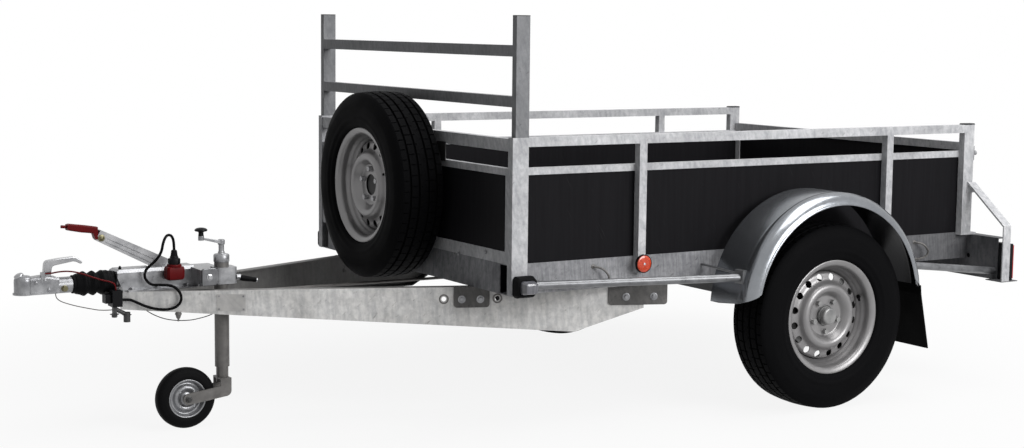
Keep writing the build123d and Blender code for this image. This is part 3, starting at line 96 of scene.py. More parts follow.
# ------------------------ camera
def make_camera():
    """Camera at the photograph's viewing angle."""
    yaw, pitch, roll = [math.radians(turn) for turn in CAMERA_TURNS]
    forward = Vector((-math.sin(yaw) * math.cos(pitch), -math.cos(yaw) * math.cos(pitch), -math.sin(pitch)))
    level = forward.cross(Vector((0, 0, 1))).normalized()
    upright = level.cross(forward)
    right = level * math.cos(roll) + upright * math.sin(roll)
    up = upright * math.cos(roll) - level * math.sin(roll)
    data = bpy.data.cameras.new("camera")
    data.sensor_width = 36.0
    data.lens = 61.83
    camera = new_object("camera", data)
    turn = Matrix((right, up, -forward)).transposed().to_4x4()
    camera.matrix_world = Matrix.Translation(CAMERA_PLACE) @ turn
    bpy.context.scene.camera = camera


make_camera()


# ------------------------ materials
WHITE = (1.0, 1.0, 1.0)


def add_node(tree, kind, inputs, **settings):
    """New node with its settings, and each input set to a value or linked to an output."""
    node = tree.nodes.new("ShaderNode" + kind)
    for setting, value in settings.items():
        setattr(node, setting, value)
    for key, value in inputs.items():
        socket = node.inputs[key]
        if isinstance(value, bpy.types.NodeSocket):
            tree.links.new(value, socket)
        else:
            socket.default_value = (*value, 1) if socket.type == "RGBA" else value
    return node


class Shader:
    """One material's node tree, with short calls for the nodes that the materials share."""

    def __init__(self, name, roughness=0.5, metallic=0.0, specular=0.5):
        self.material = bpy.data.materials.new(name)
        self.material.use_nodes = True
        self.tree = self.material.node_tree
        self.surface = self.tree.nodes["Principled BSDF"]
        for socket, value in (("Roughness", roughness), ("Metallic", metallic),
                              ("Specular IOR Level", specular)):
            self.surface.inputs[socket].default_value = value
        self.place = self.add("TexCoord", {}).outputs["Object"]

    def add(self, kind, inputs, **settings):
        return add_node(self.tree, kind, inputs, **settings)

    def link(self, output, socket):
        self.tree.links.new(output, self.surface.inputs[socket])

    def stretched(self, sizes, rotation=(0, 0, 0)):
        """Coordinates turned and then divided by a grain size for each axis, in metres."""
        inputs = {"Vector": self.place, "Scale": sizes, "Rotation": rotation}
        return self.add("Mapping", inputs, vector_type="TEXTURE").outputs["Vector"]

    def noise(self, scale, detail=4.0, rough=0.55, vector=None, distortion=0.0):
        inputs = {"Vector": vector or self.place, "Scale": scale, "Detail": detail, "Roughness": rough,
                  "Distortion": distortion}
        return self.add("TexNoise", inputs).outputs["Fac"]

    def grain(self, detail, rough, sizes, rotation=(0, 0, 0)):
        """Noise drawn out to a grain size for each axis."""
        return self.noise(1.0, detail, rough, vector=self.stretched(sizes, rotation))

    def ramp(self, value, stops):
        """Colour ramp; each of its two stops is a place and a grey level or a colour."""
        node = self.add("ValToRGB", {"Fac": value})
        for element, (place, colour) in zip(node.color_ramp.elements, stops):
            element.position = place
            element.color = (*colour, 1) if isinstance(colour, tuple) else (colour, colour, colour, 1)
        return node.outputs["Color"]

    def blend(self, a, b, amount, kind="MIX"):
        return self.add("MixRGB", {"Fac": amount, "Color1": a, "Color2": b}, blend_type=kind).outputs["Color"]

    def maths(self, kind, a, b=0.0):
        return self.add("Math", {0: a, 1: b}, operation=kind).outputs["Value"]

    def axis(self, name):
        return self.add("SeparateXYZ", {"Vector": self.place}).outputs[name]

    def radius(self, *line):
        """Distance from a line along the third axis; line names two coordinates and its place on each."""
        squares = [self.maths("POWER", self.maths("SUBTRACT", self.axis(name), place), 2.0)
                   for name, place in line]
        return self.maths("SQRT", self.maths("ADD", *squares))

    def spread(self, value, low, high, start=0.3, end=0.7, **settings):
        """A range from low to high, as the value goes from start to end."""
        inputs = {"Value": value, "From Min": start, "From Max": end, "To Min": low, "To Max": high}
        return self.add("MapRange", inputs, **settings).outputs["Result"]

    def bump(self, height, strength, distance=0.001):
        node = self.add("Bump", {"Height": height, "Strength": strength, "Distance": distance})
        self.link(node.outputs["Normal"], "Normal")

    def finish(self, base, cloud, roughness):
        """Link the colour, and a roughness that varies over a range with a noise; give the material."""
        self.link(base, "Base Color")
        self.link(self.spread(cloud, *roughness), "Roughness")
        return self.material


def galvanised(name, low, high, roughness, metallic, grain=(0.012, 0.012, 0.16), lean=(0.3, 0.3, 0),
               depth=0.6, cap_above=None, beam_inner_shade=None, under=None, rear_shade=0.0, specular=0.2):
    """Hot-dip zinc: cloudy patches, fine mottle, run marks and scars.

    Options: dark plastic above a height; painted shade on the beams' inner faces, where |y| + slope * x is
    low;
    painted black shade under the fenders, closer than a radius to their middle and short of their lips;
    painted shade on the rails behind the wheels.
    """
    s = Shader(name, metallic=metallic, specular=specular)
    mottle = s.noise(55.0, 3.0, 0.65, distortion=0.5)
    runs = s.grain(3.0, 0.6, grain, lean)
    scars = s.grain(2.0, 0.6, (0.03, 0.03, 0.008), (0.9, 0.2, 0.4))
    base = s.ramp(s.noise(7.0, 5.0, 0.6), [(0.3, low), (0.7, high)])
    for marks, dark, light, shade in ((mottle, 0.34, 0.62, (0.66, 0.67, 0.68)),
                                      (runs, 0.36, 0.58, (0.66, 0.67, 0.69)),
                                      (scars, 0.24, 0.34, (0.42, 0.41, 0.40))):
        base = s.blend(base, s.ramp(marks, [(dark, shade), (light, WHITE)]), depth, "MULTIPLY")
    if cap_above:
        base = s.blend(base, (0.012, 0.012, 0.013), s.maths("GREATER_THAN", s.axis("Z"), cap_above))
    # painted shade: the beams' inner faces are made a dark dull grey, standing in for their shadow
    if beam_inner_shade:
        slope, limit = beam_inner_shade
        out = s.maths("ABSOLUTE", s.axis("Y"))
        reach = s.maths("ADD", out, s.maths("MULTIPLY", s.axis("X"), slope))
        inner_shade_share = s.maths("MULTIPLY", s.maths("LESS_THAN", reach, limit), 0.8)
        base = s.blend(base, (0.06, 0.058, 0.056), inner_shade_share)
    # painted shade: the fenders' undersides are made near black, standing in for their shadow
    if under:
        radius, lip = under
        below = s.maths("LESS_THAN", s.radius(("X", AXLE_X), ("Z", FENDER_Z * MM)), radius * MM)
        short = s.maths("LESS_THAN", s.maths("ABSOLUTE", s.axis("Y")), lip * MM)
        base = s.blend(base, (0.010, 0.010, 0.011), s.maths("MULTIPLY", below, short))
    # painted shade: the rails darken behind the wheels, where the fenders shade them
    if rear_shade:
        base = s.blend(base, (0.03, 0.03, 0.032), s.spread(s.axis("X"), 0.0, rear_shade, -1.10, -1.32))
    s.bump(s.blend(s.noise(70.0, 4.0, 0.6), runs, 0.4), 0.22)
    return s.finish(base, mottle, roughness)


def rubber(name, tone, roughness, dust, specular):
    """Black rubber with fine grain and a little dust in patches."""
    s = Shader(name, specular=specular)
    cloud = s.noise(11.0, 5.0, 0.6)
    pale = tuple(part + dust for part in tone)
    s.bump(s.noise(520.0, 3.0, 0.6), 0.16, 0.0006)
    return s.finish(s.ramp(cloud, [(0.35, tone), (0.75, pale)]), cloud, roughness)


def painted(name, tone, roughness, metallic=0.0, specular=0.5, fleck=900.0, shade=0.8, behind=None):
    """Painted or moulded surface with slight unevenness and fine grain.

    A wheel gets painted shade, near black, behind its disc: where |y| is under a limit on the axle, and
    behind a limit of x on the spare.
    """
    s = Shader(name, metallic=metallic, specular=specular)
    cloud = s.noise(14.0, 4.0, 0.55)
    base = s.ramp(cloud, [(0.32, tuple(part * shade for part in tone)), (0.68, tone)])
    # painted shade: near black behind the disc, as seen through the vents
    if behind:
        road_limit, spare_limit = behind
        out = s.maths("ABSOLUTE", s.axis("Y"))
        road = s.maths("MULTIPLY", s.maths("GREATER_THAN", out, 0.6), s.maths("LESS_THAN", out, road_limit))
        middle = s.maths("MULTIPLY", s.maths("LESS_THAN", out, 0.6),
                         s.maths("LESS_THAN", s.axis("X"), spare_limit))
        base = s.blend(base, (0.012, 0.012, 0.012), s.maths("ADD", road, middle))
    s.bump(s.noise(fleck, 2.0, 0.5), 0.08, 0.0005)
    return s.finish(base, cloud, roughness)


def plated(name, low, high, roughness=(0.25, 0.42), metallic=0.75, drum=None):
    """Zinc plating with faint cloudiness and handling marks; painted shade, near black, beyond a drum's
    radius about the axle.
    """
    s = Shader(name, metallic=metallic)
    cloud = s.noise(22.0, 5.0, 0.6)
    marks = s.grain(4.0, 0.6, (0.03, 0.006, 0.03), (0.3, 0.2, 0))
    base = s.ramp(cloud, [(0.3, low), (0.7, high)])
    base = s.blend(base, s.ramp(marks, [(0.38, (0.76, 0.76, 0.78)), (0.6, WHITE)]), 0.5, "MULTIPLY")
    # painted shade: near black beyond the drum's radius, behind the wheel's disc
    if drum:
        beyond = s.maths("GREATER_THAN", s.radius(("X", AXLE_X), ("Z", WHEEL_Z * MM)), drum * MM)
        base = s.blend(base, (0.006, 0.006, 0.006), beyond)
    s.bump(s.noise(300.0, 3.0), 0.08, 0.0005)
    return s.finish(base, cloud, roughness)


def carrier_steel(name):
    """Dark weathered steel, zinc-plated where the wheel bolts are, and painted black shade in the spare's
    bore.
    """
    s = Shader(name, metallic=0.4, specular=0.2)
    radius = s.radius(("Y", 0.0), ("Z", SPARE_Z * MM))
    cloud = s.noise(20.0, 4.0, 0.6)
    base = s.ramp(cloud, [(0.3, 0.03), (0.7, 0.06)])
    bright = s.ramp(cloud, [(0.3, (0.34, 0.34, 0.35)), (0.7, (0.48, 0.48, 0.49))])
    base = s.blend(base, bright, s.maths("LESS_THAN", radius, 0.075))
    # painted shade: near black in the spare's bore
    base = s.blend(base, (0.003, 0.003, 0.003), s.maths("LESS_THAN", radius, 0.042))
    s.bump(s.noise(200.0, 3.0), 0.1, 0.0005)
    return s.finish(base, cloud, (0.35, 0.5))


def plywood(name):
    """Dark film-faced board: faint upright grain, a fine pressed grid and small scuffs."""
    s = Shader(name, specular=0.04)
    grain = s.grain(4.0, 0.6, (0.012, 0.012, 0.3))
    scuffs = s.grain(2.0, 0.5, (0.004, 0.004, 0.12), (0, 0.5, 0))
    base = s.ramp(grain, [(0.3, (0.0062, 0.0060, 0.0070)), (0.7, (0.0086, 0.0083, 0.0095))])
    base = s.blend(base, (0.05, 0.048, 0.048), s.ramp(scuffs, [(0.70, 0.0), (0.82, 0.4)]))
    grid = s.add("TexVoronoi", {"Vector": s.place, "Scale": 420.0})
    s.bump(grid.outputs["Distance"], 0.12, 0.0004)
    return s.finish(base, s.noise(3.0, 5.0, 0.6), (0.42, 0.6))


def lens(name, tone, sizes, bands=()):
    """Moulded lamp lens: glossy, with fine optic ribs; bands are upper limits of |y| and their colours."""
    s = Shader(name, roughness=0.14, specular=0.6)
    optic = s.grain(1.0, 0.4, sizes)
    colour = tone
    for limit, band in bands:
        colour = s.blend(colour, band, s.maths("LESS_THAN", s.maths("ABSOLUTE", s.axis("Y")), limit))
    colour = s.blend(colour, s.ramp(optic, [(0.40, 0.75), (0.60, 1.0)]), 1.0, "MULTIPLY")
    s.link(colour, "Base Color")
    s.bump(optic, 0.2, 0.0006)
    return s.material


GALVANISED = galvanised("galvanised_steel", (0.38, 0.38, 0.39), (0.58, 0.58, 0.59), (0.46, 0.6), 0.08)
# the rails carry painted shade behind the wheels
RAIL_STEEL = galvanised("galvanised_rail", (0.19, 0.19, 0.20), (0.34, 0.34, 0.35), (0.5, 0.65), 0.08,
                        (0.006, 0.012, 0.10), (0, 0.1, 0), 0.75, rear_shade=0.6, specular=0.1)
HEADBOARD_STEEL = galvanised("galvanised_headboard", (0.16, 0.162, 0.168), (0.23, 0.232, 0.24), (0.42, 0.58),
                             0.08, cap_above=1.3502)
# the beams' inner faces carry painted shade
BEAM_STEEL = galvanised("galvanised_beam", (0.51, 0.50, 0.485), (0.78, 0.77, 0.755), (0.42, 0.55), 0.1,
                        (0.016, 0.016, 0.09), (0, 0.1, 0), beam_inner_shade=(BEAM_SLOPE, 0.6112))
# the fenders' undersides carry painted shade
FENDER_STEEL = galvanised("galvanised_fender", (0.222, 0.233, 0.25), (0.285, 0.297, 0.313), (0.20, 0.27),
                          0.88, (0.20, 0.02, 0.20), (0, 0, 0), 0.15, under=(398.8, 908.0))
CHASSIS_STEEL = galvanised("weathered_galvanised", 0.05, 0.10, (0.5, 0.65), 0.1)
PLATE_STEEL = galvanised("dark_plate_steel", (0.085, 0.082, 0.08), (0.15, 0.145, 0.14), (0.45, 0.6), 0.2)
ZINC = plated("zinc_plate", (0.17, 0.172, 0.18), (0.34, 0.343, 0.352), (0.25, 0.42), 0.6)
BRIGHT_ZINC = plated("bright_zinc", (0.30, 0.302, 0.31), (0.45, 0.452, 0.46), (0.16, 0.3), 0.7)
LEVER_ZINC = plated("lever_zinc", (0.28, 0.282, 0.29), (0.40, 0.40, 0.41), (0.3, 0.45), 0.4)
DULL_ZINC = plated("dull_zinc", (0.085, 0.081, 0.077), (0.155, 0.148, 0.142), (0.4, 0.52), 0.3)
YELLOW_ZINC = plated("yellow_zinc", (0.11, 0.10, 0.055), (0.17, 0.155, 0.09))
SIGN_ZINC = plated("sign_zinc", (0.36, 0.355, 0.345), (0.46, 0.45, 0.44), (0.35, 0.5), 0.2)
CLAMP_ZINC = plated("clamp_zinc", (0.10, 0.102, 0.106), (0.20, 0.203, 0.21), (0.25, 0.4), 0.5)
DARK_ZINC = plated("dark_zinc", 0.03, 0.06, (0.35, 0.5), 0.5)
# the hub's drum carries painted shade
HUB_STEEL = plated("hub_steel", (0.17, 0.17, 0.17), (0.32, 0.32, 0.315), (0.3, 0.45), 0.4, drum=78)
CARRIER_STEEL = carrier_steel("carrier_steel")
PLYWOOD = plywood("film_faced_plywood")
TYRE_RUBBER = rubber("tyre_rubber", (0.0030, 0.0030, 0.0034), (0.55, 0.7), 0.001, 0.02)
BLACK_RUBBER = rubber("black_rubber", (0.0030, 0.0030, 0.0034), (0.5, 0.66), 0.0015, 0.05)
FLAP_RUBBER = rubber("flap_rubber", (0.0020, 0.0020, 0.0020), (0.6, 0.75), 0.001, 0.04)
WIRE_GREY = painted("wire_grey", (0.075, 0.070, 0.064), (0.4, 0.55))
BLACK_PLASTIC = painted("black_plastic", (0.004, 0.004, 0.005), (0.34, 0.5), specular=0.1)
RED_PLASTIC = painted("red_plastic", (0.105, 0.004, 0.005), (0.36, 0.5), specular=0.08)
# the wheels' barrels carry painted shade behind their discs
WHEEL_SILVER = painted("wheel_silver", (0.235, 0.230, 0.232), (0.30, 0.42), 0.5, 0.5, 1400.0, 0.86,
                       behind=(0.845, 0.4665))
# painted shade: near black for the back of the wheels' discs
DISC_BACK_SHADE = painted("disc_back_shade", (0.016, 0.015, 0.014), (0.6, 0.75), specular=0.1)
LENS_RED, LENS_ORANGE = (0.42, 0.010, 0.010), (0.70, 0.16, 0.015)
AMBER = lens("reflector_amber", (0.56, 0.05, 0.012), (0.003, 0.02, 0.003))
CLEAR_LENS = lens("marker_lens", (0.13, 0.13, 0.145), (0.003, 0.05, 0.03))
REAR_LENS = lens("rear_lens", LENS_RED, (0.02, 0.004, 0.004), ((0.815, LENS_ORANGE), (0.735, LENS_RED)))

LOOKS = (
    (PLYWOOD, "side_panels front_panel floor_board tailgate_panel"),
    (HEADBOARD_STEEL, "headboard"),
    (BEAM_STEEL, "drawbar_beams"),
    (PLATE_STEEL, "drawbar_plates"),
    (RAIL_STEEL, "side_rails lamp_channel cross_members"),
    (CHASSIS_STEEL, "axle_tube axle_brackets axle_arms"),
    (CARRIER_STEEL, "spare_carrier"),
    (FENDER_STEEL, "fenders"),
    (FLAP_RUBBER, "mudflaps"),
    (TYRE_RUBBER, "tyre_left tyre_right spare_tyre"),
    (BLACK_RUBBER, "jockey_tyre bellows side_reflectors marker_lamps lighting_cable brake_wire_front"),
    (BLACK_RUBBER, "brake_wire_rear"),
    (WHEEL_SILVER, "rim_left rim_right spare_rim"),
    (HUB_STEEL, "hub_left hub_right"),
    (ZINC, "coupling_head overrun_housing tailgate_fittings jockey_clamp jockey_rim jockey_crank"),
    (BRIGHT_ZINC, "coupling_handle"),
    (LEVER_ZINC, "handbrake_lever"),
    (CLAMP_ZINC, "fender_stays"),
    (DULL_ZINC, "brake_rod brake_equaliser jockey_leg jockey_fork"),
    (DARK_ZINC, "brake_fork"),
    (BLACK_PLASTIC, "cable_bracket cable_plug rear_lamps"),
    (RED_PLASTIC, "handbrake_grip plug_holder breakaway_cable"),
    (REAR_LENS, "rear_lenses"),
)
NODE_LOOKS = {node_name: material for material, names in LOOKS for node_name in names.split()}


def dress(node, material):
    """Give a node one material; a node without a slot gets one."""
    if not node.material_slots:
        node.data.materials.append(material)
    for slot in node.material_slots:
        slot.material = material


for node_name, node in NODES.items():
    dress(node, NODE_LOOKS.get(node_name, GALVANISED))


def soften(piece, width, segments=2, angle=50):
    """Round a piece's edges, where they turn by more than an angle in degrees, by a width in millimetres."""
    edge = piece.modifiers.new("edges", "BEVEL")
    edge.width = width * MM
    edge.segments = segments
    edge.limit_method = "ANGLE"
    edge.angle_limit = math.radians(angle)
    edge.harden_normals = True


BEVELS = (
    (2.5, "corner_posts top_rails headboard"), (2.0, "side_stanchions cable_bracket"),
    (1.8, "tailgate_frame"), (1.5, "overrun_housing jockey_clamp"), (1.2, "side_rails cross_members"),
    (1.0, "lamp_channel axle_brackets"), (0.9, "panel_trim"),
    (0.8, "lamp_guards drawbar_plates spare_carrier tailgate_fittings"), (0.6, "jockey_fork"),
)
for width, names in BEVELS:
    for node_name in names.split():
        soften(NODES[node_name], width)


# ------------------------ mesh helpers
def finish_piece(piece, material, body, replaces):
    """Give a piece its material and body, and hide the node that it stands for, if any."""
    piece.data.materials.append(material)
    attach(piece, body)
    if replaces:
        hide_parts(replaces)
    return piece


def mesh_piece(name, bm, material, replaces=None, smooth=35, body="chassis"):
    """Object from a bmesh, shaded smooth below an angle in degrees."""
    bmesh.ops.remove_doubles(bm, verts=bm.verts, dist=1e-6)
    bmesh.ops.dissolve_degenerate(bm, edges=bm.edges, dist=1e-7)
    bmesh.ops.recalc_face_normals(bm, faces=bm.faces)
    if bm.calc_volume(signed=True) < 0:
        bmesh.ops.reverse_faces(bm, faces=bm.faces)
    for edge in bm.edges:
        if len(edge.link_faces) == 2:
            edge.smooth = edge.calc_face_angle() < math.radians(smooth)
    for face in bm.faces:
        face.smooth = True
    return finish_piece(mesh_from(name, bm), material, body, replaces)


def curve_piece(name, kind, places, radius, ribs, material, replaces):
    """Round cord or bar along a spline through or near places, in metres."""
    curve = bpy.data.curves.new(name, "CURVE")
    curve.dimensions = "3D"
    curve.bevel_depth = radius
    curve.bevel_resolution = ribs
    curve.use_fill_caps = True
    line = curve.splines.new(kind)
    line.points.add(len(places) - 1)
    for point, place in zip(line.points, places):
        point.co = (*place, 1)
    if kind == "NURBS":
        line.order_u = 3
        line.use_endpoint_u = True
    return finish_piece(new_object(name, curve), material, "chassis", replaces)


def axes(centre, direction):
    """Matrix that puts local +Z along a direction at a centre."""
    turn = Vector(direction).normalized().to_track_quat("Z", "Y").to_matrix().to_4x4()
    return Matrix.Translation(Vector(centre)) @ turn


def polar(ring, turn, height):
    """Point in metres from a radius and a height in millimetres and a turn in radians."""
    return Vector((ring * MM * math.cos(turn), ring * MM * math.sin(turn), height * MM))


def spin(bm, outlines, place, closed=True):
    """Skin round local Z; each outline of radius and height, in millimetres, has its share of the turn."""
    rings = [[bm.verts.new(place @ polar(r, math.tau * share, h)) for r, h in outline]
             for share, outline in outlines]
    count = len(rings[0])
    for i, here in enumerate(rings):
        there = rings[(i + 1) % len(rings)]
        for j in range(count if closed else count - 1):
            k = (j + 1) % count
            bm.faces.new((here[j], there[j], there[k], here[k]))


def lathe(bm, profile, place, segments=64, closed=True):
    """Turn one outline of radius and height about local Z."""
    spin(bm, [(i / segments, profile) for i in range(segments)], place, closed)


def loft(bm, rings):
    """Skin over rings of points, with both ends closed."""
    rows = [[bm.verts.new(point) for point in ring] for ring in rings]
    for here, there in zip(rows, rows[1:]):
        for j in range(len(here)):
            k = (j + 1) % len(here)
            bm.faces.new((here[j], here[k], there[k], there[j]))
    bm.faces.new(rows[0][::-1])
    bm.faces.new(rows[-1])


def side_loft(bm, outline, rows):
    """Loft across the trailer over an outline in x and z; each row is a place y and an inset."""
    loft(bm, [[at(x, y, z) for x, z in shrunk(outline, inset)] for y, inset in rows])


def shrunk(outline, amount):
    """Outline drawn in towards its middle by an amount on each side."""
    xs, zs = [p[0] for p in outline], [p[1] for p in outline]
    mx, mz = (min(xs) + max(xs)) / 2, (min(zs) + max(zs)) / 2
    kx = 1 - 2 * amount / (max(xs) - min(xs))
    kz = 1 - 2 * amount / (max(zs) - min(zs))
    return [(mx + (x - mx) * kx, mz + (z - mz) * kz) for x, z in outline]


def rounded(points, steps=6):
    """Points of a smooth curve through control points, by Catmull-Rom spans."""
    row = []
    for i in range(len(points) - 1):
        a, b = Vector(points[max(i - 1, 0)]), Vector(points[i])
        c, d = Vector(points[i + 1]), Vector(points[min(i + 2, len(points) - 1)])
        for k in range(steps):
            t = k / steps
            row.append(0.5 * (2 * b + (c - a) * t + (2 * a - 5 * b + 4 * c - d) * t ** 2
                              + (3 * b - a - 3 * c + d) * t ** 3))
    row.append(Vector(points[-1]))
    return [tuple(v) for v in row]


def sheet(skin, thickness):
    """Closed outline of a sheet: a skin, and the same line set off square to it on its right-hand side."""
    back = []
    for i, (a, b) in enumerate(skin):
        before, after = skin[max(i - 1, 0)], skin[min(i + 1, len(skin) - 1)]
        along = Vector((after[0] - before[0], after[1] - before[1])).normalized()
        back.append((a + along.y * thickness, b - along.x * thickness))
    return skin + back[::-1]


def bolts(name, places, across, material, body="chassis", round_head=False, washer=1.75):
    """Bolt heads on washers, wider by a factor; a place is a point and the way out of the surface."""
    bm = bmesh.new()
    half = across / 2
    rim = half * washer
    disc = [(0, 0), (rim, 0), (rim, 1.2), (rim - half * 0.15, 1.6), (0, 1.6)]
    head = [(0, 1.2), (half * 1.15, 1.2), (half * 1.15, half * 1.1), (half * 0.98, half * 1.3),
            (0, half * 1.3)]
    if round_head:
        head = [(0, 1.2), (half * 1.15, 1.2), (half * 1.12, 2.6), (half * 0.8, half * 0.75),
                (half * 0.4, half * 0.95), (0, half)]
    for centre, direction in places:
        place = axes(centre, direction)
        lathe(bm, disc, place, 24, closed=False)
        lathe(bm, head, place, 20 if round_head else 6, closed=False)
    mesh_piece(name, bm, material, smooth=28, body=body)


def turned(name, profile, place, segments, material, slot, replaces=None, smooth=35, body="chassis",
           closed=False):
    """Piece turned from a profile of radius and height, open or closed."""
    bm = bmesh.new()
    lathe(bm, profile, place, segments, closed)
    return mesh_piece(name, bm, material, replaces, smooth, body)


# ------------------------ cords
LIGHTING_ROUTE = [
    (2255, 60, 432), (2231, 60, 432), (2211, 73, 422), (2182, 88, 407), (2143, 104, 397), (2104, 120, 399),
    (2080, 128, 420), (2080, 126, 450), (2100, 110, 474), (2133, 85, 475), (2161, 66, 474), (2180, 59, 499),
    (2177, 69, 528), (2154, 92, 553), (2138, 108, 583), (2133, 110, 616), (2117, 97, 637), (2094, 78, 635),
    (2079, 64, 614), (2079, 64, 584)]
BREAKAWAY_ROUTE = [
    (2492, 20, 526), (2472, 20, 526), (2450, 27, 531), (2418, 33, 532), (2385, 37, 525), (2348, 42, 510),
    (2316, 47, 498), (2287, 51, 491), (2272, 52, 481), (2272, 52, 463)]
WIRE_FRONT_ROUTE = [
    (2452, 0, 462), (2452, 0, 447), (2441, 3, 434), (2418, 9, 424), (2386, 16, 414), (2350, 24, 405),
    (2313, 34, 397), (2277, 34, 397)]
WIRE_REAR_ROUTE = [
    (2196, 0, 400), (2180, 0, 400), (2160, 1, 386), (2130, 0, 365), (2090, 1, 347), (2045, 0, 338),
    (2000, 1, 336), (1968, 0, 340), (1942, 1, 345), (1920, 0, 352), (1903, 0, 363), (1896, 0, 376),
    (1896, 0, 388)]
PLUG_X, PLUG_Y = 2079, 64   # upright middle line of the parked plug
PLUG_GRIPS = 12


def make_plug():
    """Trailer plug parked in its holder: round body, grip bars and ribbed neck."""
    bm = bmesh.new()
    profile = [(0, 530), (20, 530), (20, 536), (19, 537), (19, 539), (20, 540), (20, 553), (18.5, 556),
               (14.5, 557.5), (13.5, 559), (13.5, 562.6), (11.8, 564)]
    for i in range(4):
        z = 564.6 + 4 * i
        r = 11.8 - 0.5 * i
        profile += [(r, z), (r, z + 2), (r - 1.4, z + 2.6), (r - 1.4, z + 3.6)]
    profile += [(9.4, 581), (8.0, 583), (5.4, 584), (0, 584)]
    lathe(bm, profile, Matrix.Translation(at(PLUG_X, PLUG_Y, 0)), 40, closed=False)
    for i in range(PLUG_GRIPS):
        a = math.tau * i / PLUG_GRIPS
        centre = at(PLUG_X, PLUG_Y, 0) + polar(19.4, a, 546)
        bmesh.ops.create_cube(bm, size=1, matrix=Matrix.Translation(centre) @ Matrix.Rotation(a, 4, "Z")
                              @ Matrix.Diagonal((0.0012, 0.003, 0.011, 1)))
    return mesh_piece("plug_body", bm, BLACK_PLASTIC, "cable_plug")


plug = make_plug()
CORDS = (
    ("lighting_cable", LIGHTING_ROUTE, 0.009, 0.620, "limp", "plug", [plug], BLACK_RUBBER, "black_rubber"),
    ("breakaway_cable", BREAKAWAY_ROUTE, 0.005, 0.249, "medium", "object", [], RED_PLASTIC, "red_plastic"),
    ("brake_wire_front", WIRE_FRONT_ROUTE, 0.003, 0.204, "medium", "object", [], WIRE_GREY, "black_rubber"),
    ("brake_wire_rear", WIRE_REAR_ROUTE, 0.003, 0.339, "medium", "object", [], BLACK_RUBBER, "black_rubber"),
)
for cord_name, route, diameter, length, stiffness, far_end, on_it, material, slot in CORDS:
    places = [at(*point) for point in route]
    cable = curve_piece(cord_name + "_line", "NURBS", places, diameter / 2, 4, material, cord_name)


# ------------------------ wheels
WHEELS = (
    ("left", at(0, WHEEL_Y, WHEEL_Z), (0, 1, 0), "wheel_left", "tyre_left", "rim_left", 270),
    ("right", at(0, -WHEEL_Y, WHEEL_Z), (0, -1, 0), "wheel_right", "tyre_right", "rim_right", 270),
    ("spare", at(SPARE_X, 0, SPARE_Z), (1, 0, 0), "chassis", "spare_tyre", "spare_rim", 90),
)
TREAD_R, TREAD_HALF, CROWN_DROP = 325.0, 72.0, 4.4
PITCHES = 56                  # tread blocks round the tyre
PITCH_STEPS = (0.0, 0.02, 0.10, 0.12, 0.5, 0.52, 0.60, 0.62)
GROOVES = (-49, -18, 18, 49)  # middles of the tread's long grooves
GROOVE_HALF, GROOVE_DEPTH = 4.0, 7.0
SHOULDER_SLOT, OUTER_SLOT, MIDDLE_SLOT = 5.0, 4.0, 2.5   # depths of the slots across the tread's ribs
WALL = [(320, 72), (316.5, 77), (308, 81), (296, 86.5), (285, 89.5), (280, 90.8), (276, 90.8),
        (262, 92.4), (246, 91.6), (238, 90.6), (234, 91.4), (226, 89.4), (222, 87.0), (216, 86.4),
        (209, 84.5), (203.5, 80.5), (200.6, 75.0), (199.0, 69.0), (190.0, 66.0), (179.0, 64.0)]
WALL_IN = [(181, 56), (205, 62), (240, 76), (262, 79), (290, 76), (306, 64), (309, 40)]


def mirrored(profile):
    """Profile's image on the other side of the wheel, in the same order."""
    return [(r, -h) for r, h in profile]


def tread_radius(h, turn):
    """Radius of the tread at a place across it and a share of the pitch."""
    out = abs(h)
    crown = TREAD_R - CROWN_DROP * (h / TREAD_HALF) ** 2
    if any(abs(h - middle) < GROOVE_HALF - 0.5 for middle in GROOVES):
        return crown - GROOVE_DEPTH
    share = (turn + (0.5 if h < 0 else 0.0)) % 1.0
    if out > GROOVES[3]:
        return crown - SHOULDER_SLOT if 0.01 < share < 0.11 else crown
    if 0.51 < share < 0.61 and out > GROOVES[2]:
        return crown - OUTER_SLOT
    if 0.51 < share < 0.61 and 6 < out < GROOVES[2]:
        return crown - MIDDLE_SLOT
    return crown


def tread_places():
    """Places across the tread, with close pairs where its grooves begin and end."""
    row = {side * h for side in (-1, 1) for h in (0.0, 5.5, 6.5, 10.0, 26.0, 34.0, 58.0, 66.0, TREAD_HALF)}
    for middle in GROOVES:
        for side in (-1, 1):
            row |= {middle + side * (GROOVE_HALF - 0.6), middle + side * (GROOVE_HALF + 0.2)}
    return sorted(row, reverse=True)


def wheel_tyre(name, place, body, node_name):
    """Tyre with its walls, and a tread with long grooves and slots across its ribs."""
    across = tread_places()
    walls = mirrored(WALL) + mirrored(WALL_IN) + WALL_IN[::-1]
    outlines = []
    for pitch in range(PITCHES):
        for turn in PITCH_STEPS:
            tread = [(tread_radius(h, turn), h) for h in across]
            outlines.append(((pitch + turn) / PITCHES, WALL[::-1] + tread + walls))
    bm = bmesh.new()
    spin(bm, outlines, place)
    mesh_piece(name + "_tyre_tread", bm, TYRE_RUBBER, node_name, 30, body)


